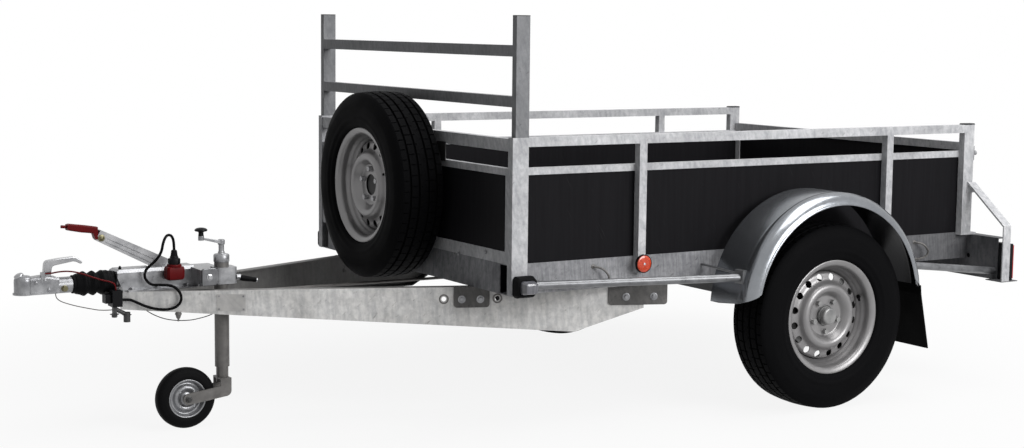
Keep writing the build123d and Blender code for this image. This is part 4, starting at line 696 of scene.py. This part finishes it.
BARREL = [(176.2, 58), (177.4, 64), (180.2, 69.4), (184.6, 73.2), (189.4, 75.4), (194.4, 77.0),
          (197.8, 77.4), (199.6, 76.2), (199.8, 73.2), (198.2, 72.2), (196.4, 73.4), (190, 71.6),
          (184.4, 69.6), (180.6, 66.4), (178.8, 62), (178.2, 54), (177.6, 44), (172.4, 37), (168, 27),
          (160.6, 18), (157.4, 8), (157.4, -14), (160, -25), (170, -37), (176, -45), (177.4, -60),
          (180, -68), (186, -72), (197, -73.4), (199.6, -75.8), (190, -76.6), (180, -74.4), (175.4, -68),
          (174.2, -60), (173.4, -46), (167.6, -36.6), (156.8, -24), (154.4, -14), (154.4, 6), (157, 15.6),
          (164, 24), (168.6, 31.4), (170.6, 38), (174.8, 42.4), (175.6, 50)]
DISC = [(36.5, 34.0), (42, 34.6), (52, 34.2), (66, 34.0), (71, 35.6), (76, 42), (82, 50), (88, 56.4),
        (95, 60.0), (101, 60.4), (108, 58.0), (114, 52), (119, 43), (124, 36.5), (131, 33.0), (140, 31.0),
        (147, 29.0), (151, 25), (153.6, 19), (155.0, 4)]
DISC_THICK = 3.2
SHADED_BELOW = -0.02   # outward part of a face's normal, below which the disc gets painted shade
CUTTER_MIDDLE, CUTTER_LENGTH = 30, 80
RIM_FACETS = 128
VENTS, VENT_RING, VENT_RADIUS, VENT_FIRST = 16, 137.0, 12.4, 11.25
STUDS, STUD_RING, STUD_RADIUS = 5, 56.0, 6.8
VALVE_TURN = math.radians(19.0)
VALVE_FOOT, VALVE_TIP = (166, 32), (144, 58)   # radius and height
VALVE_STEM = [(0, -6), (7.5, -6), (8, 0), (5.6, 3), (5.0, 14), (4.4, 24), (4.4, 34), (3.6, 36), (0, 36)]


def hole_cutters(place, stud_turn):
    """Round cutters along local Z for the vents and the wheel bolts."""
    bm = bmesh.new()
    for count, ring, radius, first in ((VENTS, VENT_RING, VENT_RADIUS, VENT_FIRST),
                                       (STUDS, STUD_RING, STUD_RADIUS, stud_turn)):
        for i in range(count):
            turn = math.radians(first + 360 / count * i)
            spot = place @ Matrix.Translation(polar(ring, turn, CUTTER_MIDDLE))
            bmesh.ops.create_cone(bm, cap_ends=True, segments=32, radius1=radius * MM, radius2=radius * MM,
                                  depth=CUTTER_LENGTH * MM, matrix=spot)
    return mesh_from("cutters", bm)


def cut_holes(piece, cutters):
    """Take cutters out of a piece and leave the result as its mesh."""
    modifier = piece.modifiers.new("holes", "BOOLEAN")
    modifier.object = cutters
    modifier.operation = "DIFFERENCE"
    modifier.solver = "MANIFOLD"
    bpy.context.view_layer.update()
    result = bpy.data.meshes.new_from_object(piece.evaluated_get(bpy.context.evaluated_depsgraph_get()))
    piece.modifiers.clear()
    piece.data = result
    bpy.data.objects.remove(cutters)


def wheel_rim(name, place, outward, body, node_name, stud_turn):
    """Rim barrel, pressed disc with its holes and painted shade on its back, and valve."""
    look = (WHEEL_SILVER, "wheel_steel", node_name, 50, body)
    turned(name + "_rim_barrel", BARREL, place, RIM_FACETS, *look, closed=True)
    pressed = sheet(rounded(DISC, 3), DISC_THICK)
    disc = turned(name + "_rim_disc", pressed, place, RIM_FACETS, *look, closed=True)
    cut_holes(disc, hole_cutters(place, stud_turn))
    disc.data.materials.clear()
    # painted shade: the disc's faces that look inwards are made near black
    for material in (WHEEL_SILVER, DISC_BACK_SHADE):
        disc.data.materials.append(material)
    for face in disc.data.polygons:
        face.material_index = 1 if face.normal.dot(outward) < SHADED_BELOW else 0
    foot, tip = [place @ polar(r, VALVE_TURN, h) for r, h in (VALVE_FOOT, VALVE_TIP)]
    turned(name + "_valve", VALVE_STEM, axes(foot, tip - foot), 20, BLACK_RUBBER, "black_rubber", body=body)


for wheel_name, centre, direction, body, tyre_node, rim_node, stud_turn in WHEELS:
    hub = axes(centre, direction)
    wheel_tyre(wheel_name, hub, body, tyre_node)
    wheel_rim(wheel_name, hub, Vector(direction), body, rim_node, stud_turn)


# ------------------------ fenders
FENDER_R, FENDER_START, FENDER_STEPS, FENDER_THICK = 400.0, 3.73, 96, 2.6
FENDER_INNER = [(400, 735), (400, 780)]   # radius and place y of the sheet's outside
FENDER_OUTER = [(400, 880), (399.2, 889), (400.3, 898), (400, 909), (396.8, 922), (390, 934.5),
                (380.5, 944), (370, 949.4), (364.5, 950.4), (362, 951.4), (359, 951), (357.6, 949)]
CORNER_FROM, CORNER_RISE = 868.0, 72.0   # where the rounded corners begin, and how far their outer edge rises


def fender_shells():
    """Both mudguards: a swept sheet with a rolled outer edge and rounded outer corners."""
    skin = FENDER_INNER + rounded(FENDER_OUTER, 4)
    reach = [0.0]
    for here, there in zip(skin, skin[1:]):
        reach.append(reach[-1] + (math.dist(here, there) if there[1] > CORNER_FROM else 0.0))
    rise = math.degrees(CORNER_RISE / FENDER_R)
    starts = [FENDER_START + rise * (1 - math.sqrt(1 - min(1, s / reach[-1]) ** 2)) for s in reach]
    outline = list(zip(sheet(skin, -FENDER_THICK), starts + starts[::-1]))
    bm = bmesh.new()
    for side in (1, -1):
        rings = []
        for i in range(FENDER_STEPS + 1):
            ring = []
            for (r, y), start in outline:
                a = math.radians(start + (180 - 2 * start) * i / FENDER_STEPS)
                ring.append(at(r * math.cos(a), side * y, FENDER_Z + r * math.sin(a)))
            rings.append(ring)
        loft(bm, rings)
    mesh_piece("fender_shells", bm, FENDER_STEEL, "fenders", 40)


fender_shells()


# ------------------------ coupling, brake and plug
def both_ways(x, z, left, right):
    """Places on the left and right faces of a narrow piece, each with its way out."""
    return [(at(x, left, z), (0, 1, 0)), (at(x, right, z), (0, -1, 0))]


def bellows_skin():
    """Gaiter with three folds, sharper at their crests than the solid under it."""
    folds = [(27, 0), (29.5, 2), (29.5, 9), (32, 13), (35.5, 27), (40, 38), (36.8, 45), (32.5, 52),
             (36, 60), (40, 68), (36.8, 75), (32, 82), (36, 90), (40, 98), (38.4, 106), (39, 115),
             (36.5, 122), (36.5, 130), (34.5, 136), (34, 139)]
    outline = rounded(folds, 4) + [(25.2, 139), (25.2, 0)]
    turned("bellows_folds", outline, axes(at(2401, 0, 484), (-1, 0, 0)), 72, BLACK_RUBBER, "black_rubber",
           "bellows", 60, closed=True)


bellows_skin()
rivets = both_ways(2520, 500, 25, -25) + both_ways(2492, 506, 25, -25) + [(at(2480, 25, 476), (0, 1, 0))]
bolts("coupling_rivets", rivets, 7, ZINC, round_head=True)
bolts("coupling_bolt", both_ways(2430, 476, 26, -26), 17, YELLOW_ZINC, washer=1.25)
bolts("lever_pivots", both_ways(2296, 626, -10, -34), 13, YELLOW_ZINC, round_head=True)


def lever_ribs():
    """Two pressed ribs along each side of the brake lever."""
    bm = bmesh.new()
    start, end = Vector((2120, 541)), Vector((2280, 620))
    along = (end - start).normalized()
    across = Vector((-along.y, along.x))
    for offset in (-9, 6):
        a, b = start + across * offset, end + across * offset * 0.8
        low, high = across * -1.6, across * 1.6
        base = [a + low, b + low, b + high, a + high]
        top = [a + low * 0.4 + along * 2, b + low * 0.4 - along * 2, b + high * 0.4 - along * 2,
               a + high * 0.4 + along * 2]
        for y, out in ((-10, 1), (-34, -1)):
            loft(bm, [[at(p.x, y + out * proud, p.y) for p in row]
                      for row, proud in ((base, -0.5), (top, 1.6))])
    mesh_piece("lever_ribs", bm, ZINC)


lever_ribs()


def plug_holder_shell():
    """Red parking socket: rounded body and a collar round the plug."""
    bm = bmesh.new()
    corners = [(2056, 42), (2102, 42), (2109, 49), (2109, 79), (2102, 86), (2056, 86), (2049, 79),
               (2049, 49)]
    rows = ((486, 6), (489, 2), (496, 0), (522, 0), (528, 2), (530, 5))
    loft(bm, [[at(x, y, z) for x, y in shrunk(corners, inset)] for z, inset in rows])
    lathe(bm, [(20.4, 528), (23.5, 528), (24, 530), (24, 535), (22.5, 537), (20.4, 537)],
          Matrix.Translation(at(PLUG_X, PLUG_Y, 0)), 40)
    piece = mesh_piece("plug_holder_shell", bm, RED_PLASTIC, "plug_holder", 40)
    soften(piece, 1.2, 2, 35)


plug_holder_shell()
flange = [(at(x, side * 51, 460), (0, 0, 1)) for x in (2030, 2130, 2215) for side in (1, -1)]
bolts("housing_bolts", flange, 11, ZINC)
turned("housing_grease_nipple", [(0, 520), (5, 520), (5, 530), (3.4, 531), (3.4, 535), (0, 536)],
       Matrix.Translation(at(2246, 18, 0)), 20, BLACK_RUBBER, "black_rubber")


# ------------------------ jockey wheel
LEG_X, JOCKEY_Y = 1930, 100            # middle of the jockey leg
JOCKEY_X, JOCKEY_Z = 2060, 100         # axle of the jockey wheel
CRANK_REACH = 70                       # from the leg's middle to the knob's


def jockey_crank():
    """Winding head, stem, tapered crank arm and black mushroom knob."""
    stem = Matrix.Translation(at(LEG_X, JOCKEY_Y, 0))
    end = Matrix.Translation(at(LEG_X + CRANK_REACH, JOCKEY_Y, 0))
    bm = bmesh.new()
    head = [(0, 540), (24.5, 540), (26, 542), (26, 562), (23, 566), (12, 568), (11, 569), (11, 574),
            (9, 575), (9, 596), (11.5, 598), (11.5, 612), (9, 614), (0, 614)]
    lathe(bm, head, stem, 48, closed=False)
    rows = []
    for share in (0.0, 0.35, 0.7, 1.0):
        x, z = LEG_X + 4 + (CRANK_REACH - 4) * share, 605 + 16 * share
        half_y, half_z = 9.5 - 3.0 * share, 5.0 - 1.4 * share
        corners = ((-1, -1), (1, -1), (1, 1), (-1, 1))
        rows.append([at(x, JOCKEY_Y + out * half_y, z + up * half_z) for out, up in corners])
    loft(bm, rows)
    lathe(bm, [(0, 614), (9.5, 614), (9.5, 628), (7, 630), (0, 630)], end, 32, closed=False)
    soften(mesh_piece("crank_arm", bm, ZINC, "jockey_crank", 40, "jockey_leg"), 1.0, 2, 40)
    knob = [(0, 629), (9, 629), (8.5, 634), (8, 640), (10, 642.5), (19, 644.5), (21, 647), (20.5, 650),
            (16, 653.6), (9, 655.6), (0, 656)]
    turned("crank_knob", knob, end, 48, BLACK_PLASTIC, "black_plastic", "jockey_crank", 40, "jockey_leg")


def jockey_wheel():
    """Small wheel: solid tyre with a sidewall ring, and a dished two-part rim with its bolts."""
    place = axes(at(JOCKEY_X, JOCKEY_Y, JOCKEY_Z), (0, 1, 0))
    half = [(64, 23.5), (67, 24.6), (72, 25), (78, 25), (80, 24.2), (84, 24.2), (90, 22.4), (95.5, 18.4),
            (99, 12.0), (100, 5.5)]
    hub = [(8.2, 24), (13, 24), (13.5, 22)]
    dish = [(13.5, 15), (20, 13), (25, 14), (31, 17.5), (36, 18), (41, 15), (46, 9), (51, 7.5), (55, 11),
            (57, 18), (59, 22.5), (62, 24), (64, 22.5)]
    for name, outline, segments, material, slot, node_name, smooth in (
            ("jockey_tyre_ring", half, 96, BLACK_RUBBER, "black_rubber", "jockey_tyre", 40),
            ("jockey_rim_dish", hub + rounded(dish, 3), 72, ZINC, "zinc_plate", "jockey_rim", 45)):
        turned(name, outline + mirrored(outline)[::-1], place, segments, material, slot, node_name, smooth,
               "jockey_wheel", closed=True)
    heads = []
    for i in range(4):
        a = math.tau * (i + 0.5) / 4
        for side in (1, -1):
            head = at(JOCKEY_X + 34 * math.cos(a), JOCKEY_Y + side * 16.5, JOCKEY_Z + 34 * math.sin(a))
            heads.append((head, (0, side, 0)))
    bolts("jockey_rim_bolts", heads, 6, ZINC, "jockey_wheel", round_head=True)
    nuts = both_ways(JOCKEY_X, JOCKEY_Z, JOCKEY_Y + 34, JOCKEY_Y - 34)
    bolts("jockey_axle_nuts", nuts, 13, DARK_ZINC, "jockey_fork")


jockey_crank()
jockey_wheel()


def clamp_plate():
    """Rounded pressure plate on the clamp, with its bolt."""
    bm = bmesh.new()
    outline = [(1961, 474), (1966, 469), (2007, 469), (2012, 474), (2012, 521), (2007, 526), (1966, 526),
               (1961, 521)]
    side_loft(bm, outline, ((130, 0), (139.6, 0)))
    soften(mesh_piece("clamp_plate", bm, CLAMP_ZINC), 2.5, 3, 40)
    bolts("clamp_bolt", [(at(1987, 139.6, 497), (0, 1, 0))], 12, BRIGHT_ZINC)


def toggle_sleeve():
    """Black rubber sleeve on the clamp's toggle handle."""
    start, end = at(1876, 126, 487), at(1820, 131.5, 476.5)
    reach = (end - start).length / MM
    profile = [(8.6, 0), (9.6, 3), (9.6, reach * 0.35), (8.4, reach * 0.7), (8.0, reach - 3), (6, reach)]
    turned("toggle_sleeve", rounded(profile, 2), axes(start, end - start), 28, BLACK_RUBBER, "black_rubber")


clamp_plate()
toggle_sleeve()


# ------------------------ lamps, caps and reflectors
MARKER = [(1108, 464), (1120, 451), (1180, 451), (1188, 460), (1188, 511), (1180, 520), (1120, 520),
          (1108, 507)]
FOOT_ROWS = ((717, 0), (733, 0), (744, 4), (748, 9), (745, 12), (738, 13))   # place y and inset of each ring
LENS_ROWS = ((736, 12.5), (752, 13), (769, 15.5), (775, 18.5), (777, 23))


def marker_lamps():
    """Corner lamps: an eight-sided rubber foot with a raised rim, and a clear lens in it."""
    for name, rows, material, slot in (("marker_feet", FOOT_ROWS, BLACK_RUBBER, "black_rubber"),
                                       ("marker_lenses", LENS_ROWS, CLEAR_LENS, "lamp_plastic")):
        bm = bmesh.new()
        for side in (1, -1):
            side_loft(bm, MARKER, [(side * y, inset) for y, inset in rows])
        mesh_piece(name, bm, material, "marker_lamps", 30)


def reflectors():
    """Round side reflectors: an orange lens ring and its centre screw."""
    profile = [(0, 0.2), (28, 0.2), (28, 1.4), (27, 2.2), (20, 3.0), (19.4, 2.6), (18.8, 3.1), (10, 3.5),
               (9.4, 3.1), (8.8, 3.6), (0, 3.7)]
    bm = bmesh.new()
    for side in (1, -1):
        lathe(bm, profile, axes(at(676, side * 725.5, 531), (0, side, 0)), 48, closed=False)
    mesh_piece("reflector_lenses", bm, AMBER)
    bolts("reflector_screws", both_ways(676, 531, 728.6, -728.6), 5, BRIGHT_ZINC, round_head=True)


def post_caps():
    """Black plastic caps on the rear posts."""
    corners = [(-858, 688), (-806, 688), (-806, 718), (-858, 718)]
    rows = ((965, 0), (968, 0), (970, 2))   # height and inset of each ring
    bm = bmesh.new()
    for side in (1, -1):
        loft(bm, [[at(x, side * y, z) for x, y in shrunk(corners, inset)] for z, inset in rows])
    soften(mesh_piece("rear_post_caps", bm, BLACK_PLASTIC), 0.8)


marker_lamps()
reflectors()
post_caps()


# ------------------------ drawbar beams
PLATE_SPANS = ((1139, 1250, 386, 455), (573, 763, 386, 455))   # rear, front, low and high of each plate
PLATE_CORNER, PLATE_CUT = 9, 3                                  # size of a lower corner and of its cut
PLATE_BOLT_XS, PLATE_BOLT_Z = (1226, 1168, 706, 617), 414
BEAM_RINGS = ((1, 1281, 415), (1, 1114, 415), (-1, 1212, 395))  # side, place and height of each hole
DATA_PLATE = [(1970, 388), (1885, 386), (1885, 441), (1970, 443)]
DATA_RIVETS = ((1964, 394), (1891, 392), (1891, 435), (1964, 437))


def beam_out(side):
    """Way out of a beam's outer face."""
    a = math.atan(BEAM_SLOPE)
    return Vector((math.sin(a), side * math.cos(a), 0))


def on_beam(x, z, proud, side=1):
    """Point on a beam's outer face, standing proud of it by an amount in millimetres."""
    return at(x, side * (BEAM_FRONT_Y + (BEAM_FRONT_X - x) * BEAM_SLOPE), z) + beam_out(side) * proud * MM


def blank_plate():
    """Blank data plate with four rivets on the left beam."""
    bm = bmesh.new()
    loft(bm, [[on_beam(x, z, proud) for x, z in DATA_PLATE] for proud in (0, 1.2)])
    mesh_piece("blank_plate", bm, SIGN_ZINC)
    rivets = [(on_beam(x, z, 0.8), beam_out(1)) for x, z in DATA_RIVETS]
    bolts("plate_rivets", rivets, 3.4, ZINC, round_head=True)


def beam_plates():
    """Bolted plates on the beams, with rounded lower corners, and the pressed rims of the beams' holes."""
    bm = bmesh.new()
    for side in (1, -1):
        for rear, front, low, high in PLATE_SPANS:
            outline = [(rear, high), (front, high), (front, low + PLATE_CORNER),
                       (front - PLATE_CUT, low + PLATE_CUT), (front - PLATE_CORNER, low),
                       (rear + PLATE_CORNER, low), (rear + PLATE_CUT, low + PLATE_CUT),
                       (rear, low + PLATE_CORNER)]
            loft(bm, [[on_beam(x, z, proud, side) for x, z in outline] for proud in (0.2, 5)])
    soften(mesh_piece("beam_plates", bm, PLATE_STEEL, "drawbar_plates"), 0.8)
    bm = bmesh.new()
    rim = [(11.6, -1), (11.6, 0.8), (13, 1.4), (16.5, 0.4), (17, -1)]
    for side, x, z in BEAM_RINGS:
        lathe(bm, rim, axes(on_beam(x, z, 0, side), beam_out(side)), 32)
    mesh_piece("beam_hole_rims", bm, DULL_ZINC)


blank_plate()
beam_plates()


# ------------------------ hooks, handle and small fittings
HOOK_XS = (856, -596)
HOOK_RADIUS = 3.8
HOOK = ((4, 687, 529), (-2, 697, 528), (-16, 709, 525), (-33, 716, 512), (-44, 717, 492), (-36, 710, 475),
        (-18, 697, 466), (-10, 687, 464))
WELDS = ((2, 529, [(0, -1), (8, -1), (7.4, 1.6), (5, 3), (0, 3)]),      # place, height and profile
         (-9, 464, [(0, -1), (7, -1), (6.4, 1.6), (4.6, 3), (0, 3)]))
for number, (hook_x, side) in enumerate((x, side) for x in HOOK_XS for side in (1, -1)):
    path = rounded([tuple(at(hook_x + x, side * y, z)) for x, y, z in HOOK], 5)
    curve_piece("lashing_hook_%d" % number, "POLY", path, HOOK_RADIUS * MM, 3, DULL_ZINC,
                "lashing_hooks")
    bm = bmesh.new()
    for x, z, profile in WELDS:
        lathe(bm, profile, axes(at(hook_x + x, side * 689, z), (0, side, 0)), 20, closed=False)
    mesh_piece("lashing_weld_%d" % number, bm, DULL_ZINC, "lashing_hooks")


def coupling_handle():
    """Forged lifting handle: upright, tapered arm and turned-down tip."""
    outline = [(2491, 497), (2491, 522), (2487.5, 556), (2484, 562), (2478, 566), (2439, 570.5),
               (2394, 573.5), (2381, 569), (2367, 557), (2367, 552), (2372, 549.5), (2384, 556),
               (2396, 559), (2455, 549.5), (2462, 547), (2465, 541), (2468, 519), (2468, 497)]
    bm = bmesh.new()
    side_loft(bm, outline, ((-12, 0), (12, 0)))
    handle = mesh_piece("coupling_lift_handle", bm, BRIGHT_ZINC, "coupling_handle")
    soften(handle, 5.5, 4, 30)


def coupling_button():
    """Ridged wear-indicator cap on the coupling's nose."""
    profile = [(15.4, 6), (16.8, 8), (16.8, 12), (15.6, 13.5), (16.4, 15), (16.4, 19), (15.2, 20.5),
               (15.8, 22), (15.4, 26), (13, 29), (8, 31), (0, 31.6), (0, 6)]
    place = axes(at(2558, 0, 500), (0.45, 0, 1))
    turned("coupling_button_cap", profile, place, 40, BRIGHT_ZINC, "zinc_plate")


def under_beam_bolts():
    """Hanging cone bolt under the left beam, and the nuts of the brake fork."""
    down = (0, 0, -1)
    cone = [(0, 0), (9, 0), (9, 4), (11, 5), (11, 9), (9.4, 10), (6.4, 20), (3, 24), (3, 31), (0, 31)]
    turned("cone_bolt", cone, axes(at(2084, 110, 387), down), 24, DULL_ZINC, "zinc_plate")
    bolts("fork_nuts", [(at(2230, 34, 378), down), (at(2271, 34, 383), down)], 17, DARK_ZINC)


def rail_end_shade_sheets():
    """Black sheets on the inner sides of the side rails' front ends: painted shade standing in for the shadow
    in the open rail ends.
    """
    corners = [(1090, 460), (1187, 460), (1187, 550), (1090, 550)]
    bm = bmesh.new()
    for side in (1, -1):
        side_loft(bm, corners, ((side * 641, 0), (side * 643, 0)))
    # painted shade: a black sheet where the open rail end has only shadow
    mesh_piece("rail_end_shade_sheets", bm, BLACK_PLASTIC)


def frame_bolts():
    """Bolts of the drawbar's plates, and screws of the front sill and of the panels' trim."""
    sides = (1, -1)
    heads = [(on_beam(x, PLATE_BOLT_Z, 5, side), beam_out(side)) for side in sides for x in PLATE_BOLT_XS]
    bolts("drawbar_bolts", heads, 15, ZINC)
    sill = [(at(1192, side * y, z), (1, 0, 0)) for side in sides for y, z in ((552, 581), (375, 554))]
    bolts("sill_screws", sill, 8, ZINC, round_head=True)
    cap = [(at(x, side * 655, 848), (0, -side, 0)) for side in sides for x in (-700, -640, 900, 960)]
    bolts("cap_screws", cap, 5, ZINC, round_head=True)


coupling_handle()
coupling_button()
under_beam_bolts()
rail_end_shade_sheets()
frame_bolts()


# ------------------------ light and floor
AMBIENT = 0.10
FLOOR_GREY, FLOOR_GLOW = 0.50, 0.89     # tone of the floor, and how far it shows as white nearby
FLOOR_NEAR, FLOOR_FAR = 1.0, 3.2        # metres over which it runs to white
FLOOR_HALF, FLOOR_DROP = 30, 0.0005     # metres


def soft_light(name, place, target, size, power):
    """Rectangular lamp at a place in metres, turned to a target."""
    data = bpy.data.lights.new(name, "AREA")
    data.shape = "RECTANGLE"
    data.size, data.size_y = size
    data.energy = power
    lamp = new_object(name, data)
    aim = Vector(target) - Vector(place)
    lamp.matrix_world = Matrix.Translation(place) @ aim.to_track_quat("-Z", "Y").to_matrix().to_4x4()


def seen_directly(tree):
    """One for rays from the camera, from gloss and through glass; nothing for the rest."""
    path = add_node(tree, "LightPath", {})
    total = path.outputs["Is Camera Ray"]
    for name in ("Is Glossy Ray", "Is Transmission Ray"):
        either = add_node(tree, "Math", {0: total, 1: path.outputs[name]}, operation="MAXIMUM")
        total = either.outputs["Value"]
    return total


def mix_shaders(tree, share, first, second, output):
    """Show a share of the second shader over the first in an output node."""
    mixed = add_node(tree, "MixShader", {"Fac": share, 1: first, 2: second})
    tree.links.new(mixed.outputs["Shader"], tree.nodes[output].inputs["Surface"])


def make_world():
    """Dim even light, with white where the camera or a gloss sees it."""
    world = bpy.data.worlds.new("studio")
    bpy.context.scene.world = world
    world.use_nodes = True
    tree = world.node_tree
    light = tree.nodes["Background"]
    light.inputs["Color"].default_value = (0.95, 0.97, 1.0, 1)
    light.inputs["Strength"].default_value = AMBIENT
    white = add_node(tree, "Background", {"Color": WHITE})
    mix_shaders(tree, seen_directly(tree), light.outputs["Background"], white.outputs["Background"],
                "World Output")


def make_floor():
    """Pale floor that keeps a soft shadow near the trailer and runs to white away from it."""
    bm = bmesh.new()
    bmesh.ops.create_grid(bm, x_segments=1, y_segments=1, size=FLOOR_HALF)
    floor = mesh_from("floor", bm)
    floor.location.z = -FLOOR_DROP
    s = Shader("studio_floor", roughness=0.9)
    s.surface.inputs["Base Color"].default_value = (FLOOR_GREY, FLOOR_GREY, FLOOR_GREY, 1)
    far = s.add("VectorMath", {0: s.place}, operation="LENGTH").outputs["Value"]
    fade = s.spread(far, FLOOR_GLOW, 1.0, FLOOR_NEAR, FLOOR_FAR, interpolation_type="SMOOTHSTEP")
    glow = s.add("Emission", {}).outputs["Emission"]
    share = s.maths("MULTIPLY", seen_directly(s.tree), fade)
    mix_shaders(s.tree, share, s.surface.outputs["BSDF"], glow, "Material Output")
    floor.data.materials.append(s.material)


soft_light("side_light", (-2.2, 6.0, 2.8), (-0.4, 0.7, 0.5), (3.6, 2.6), 325)
soft_light("top_light", (-1.2, 1.2, 5.0), (-0.2, 0.2, 0.4), (4.4, 3.0), 250)
make_world()
make_floor()
bpy.context.scene.view_settings.view_transform = "Standard"
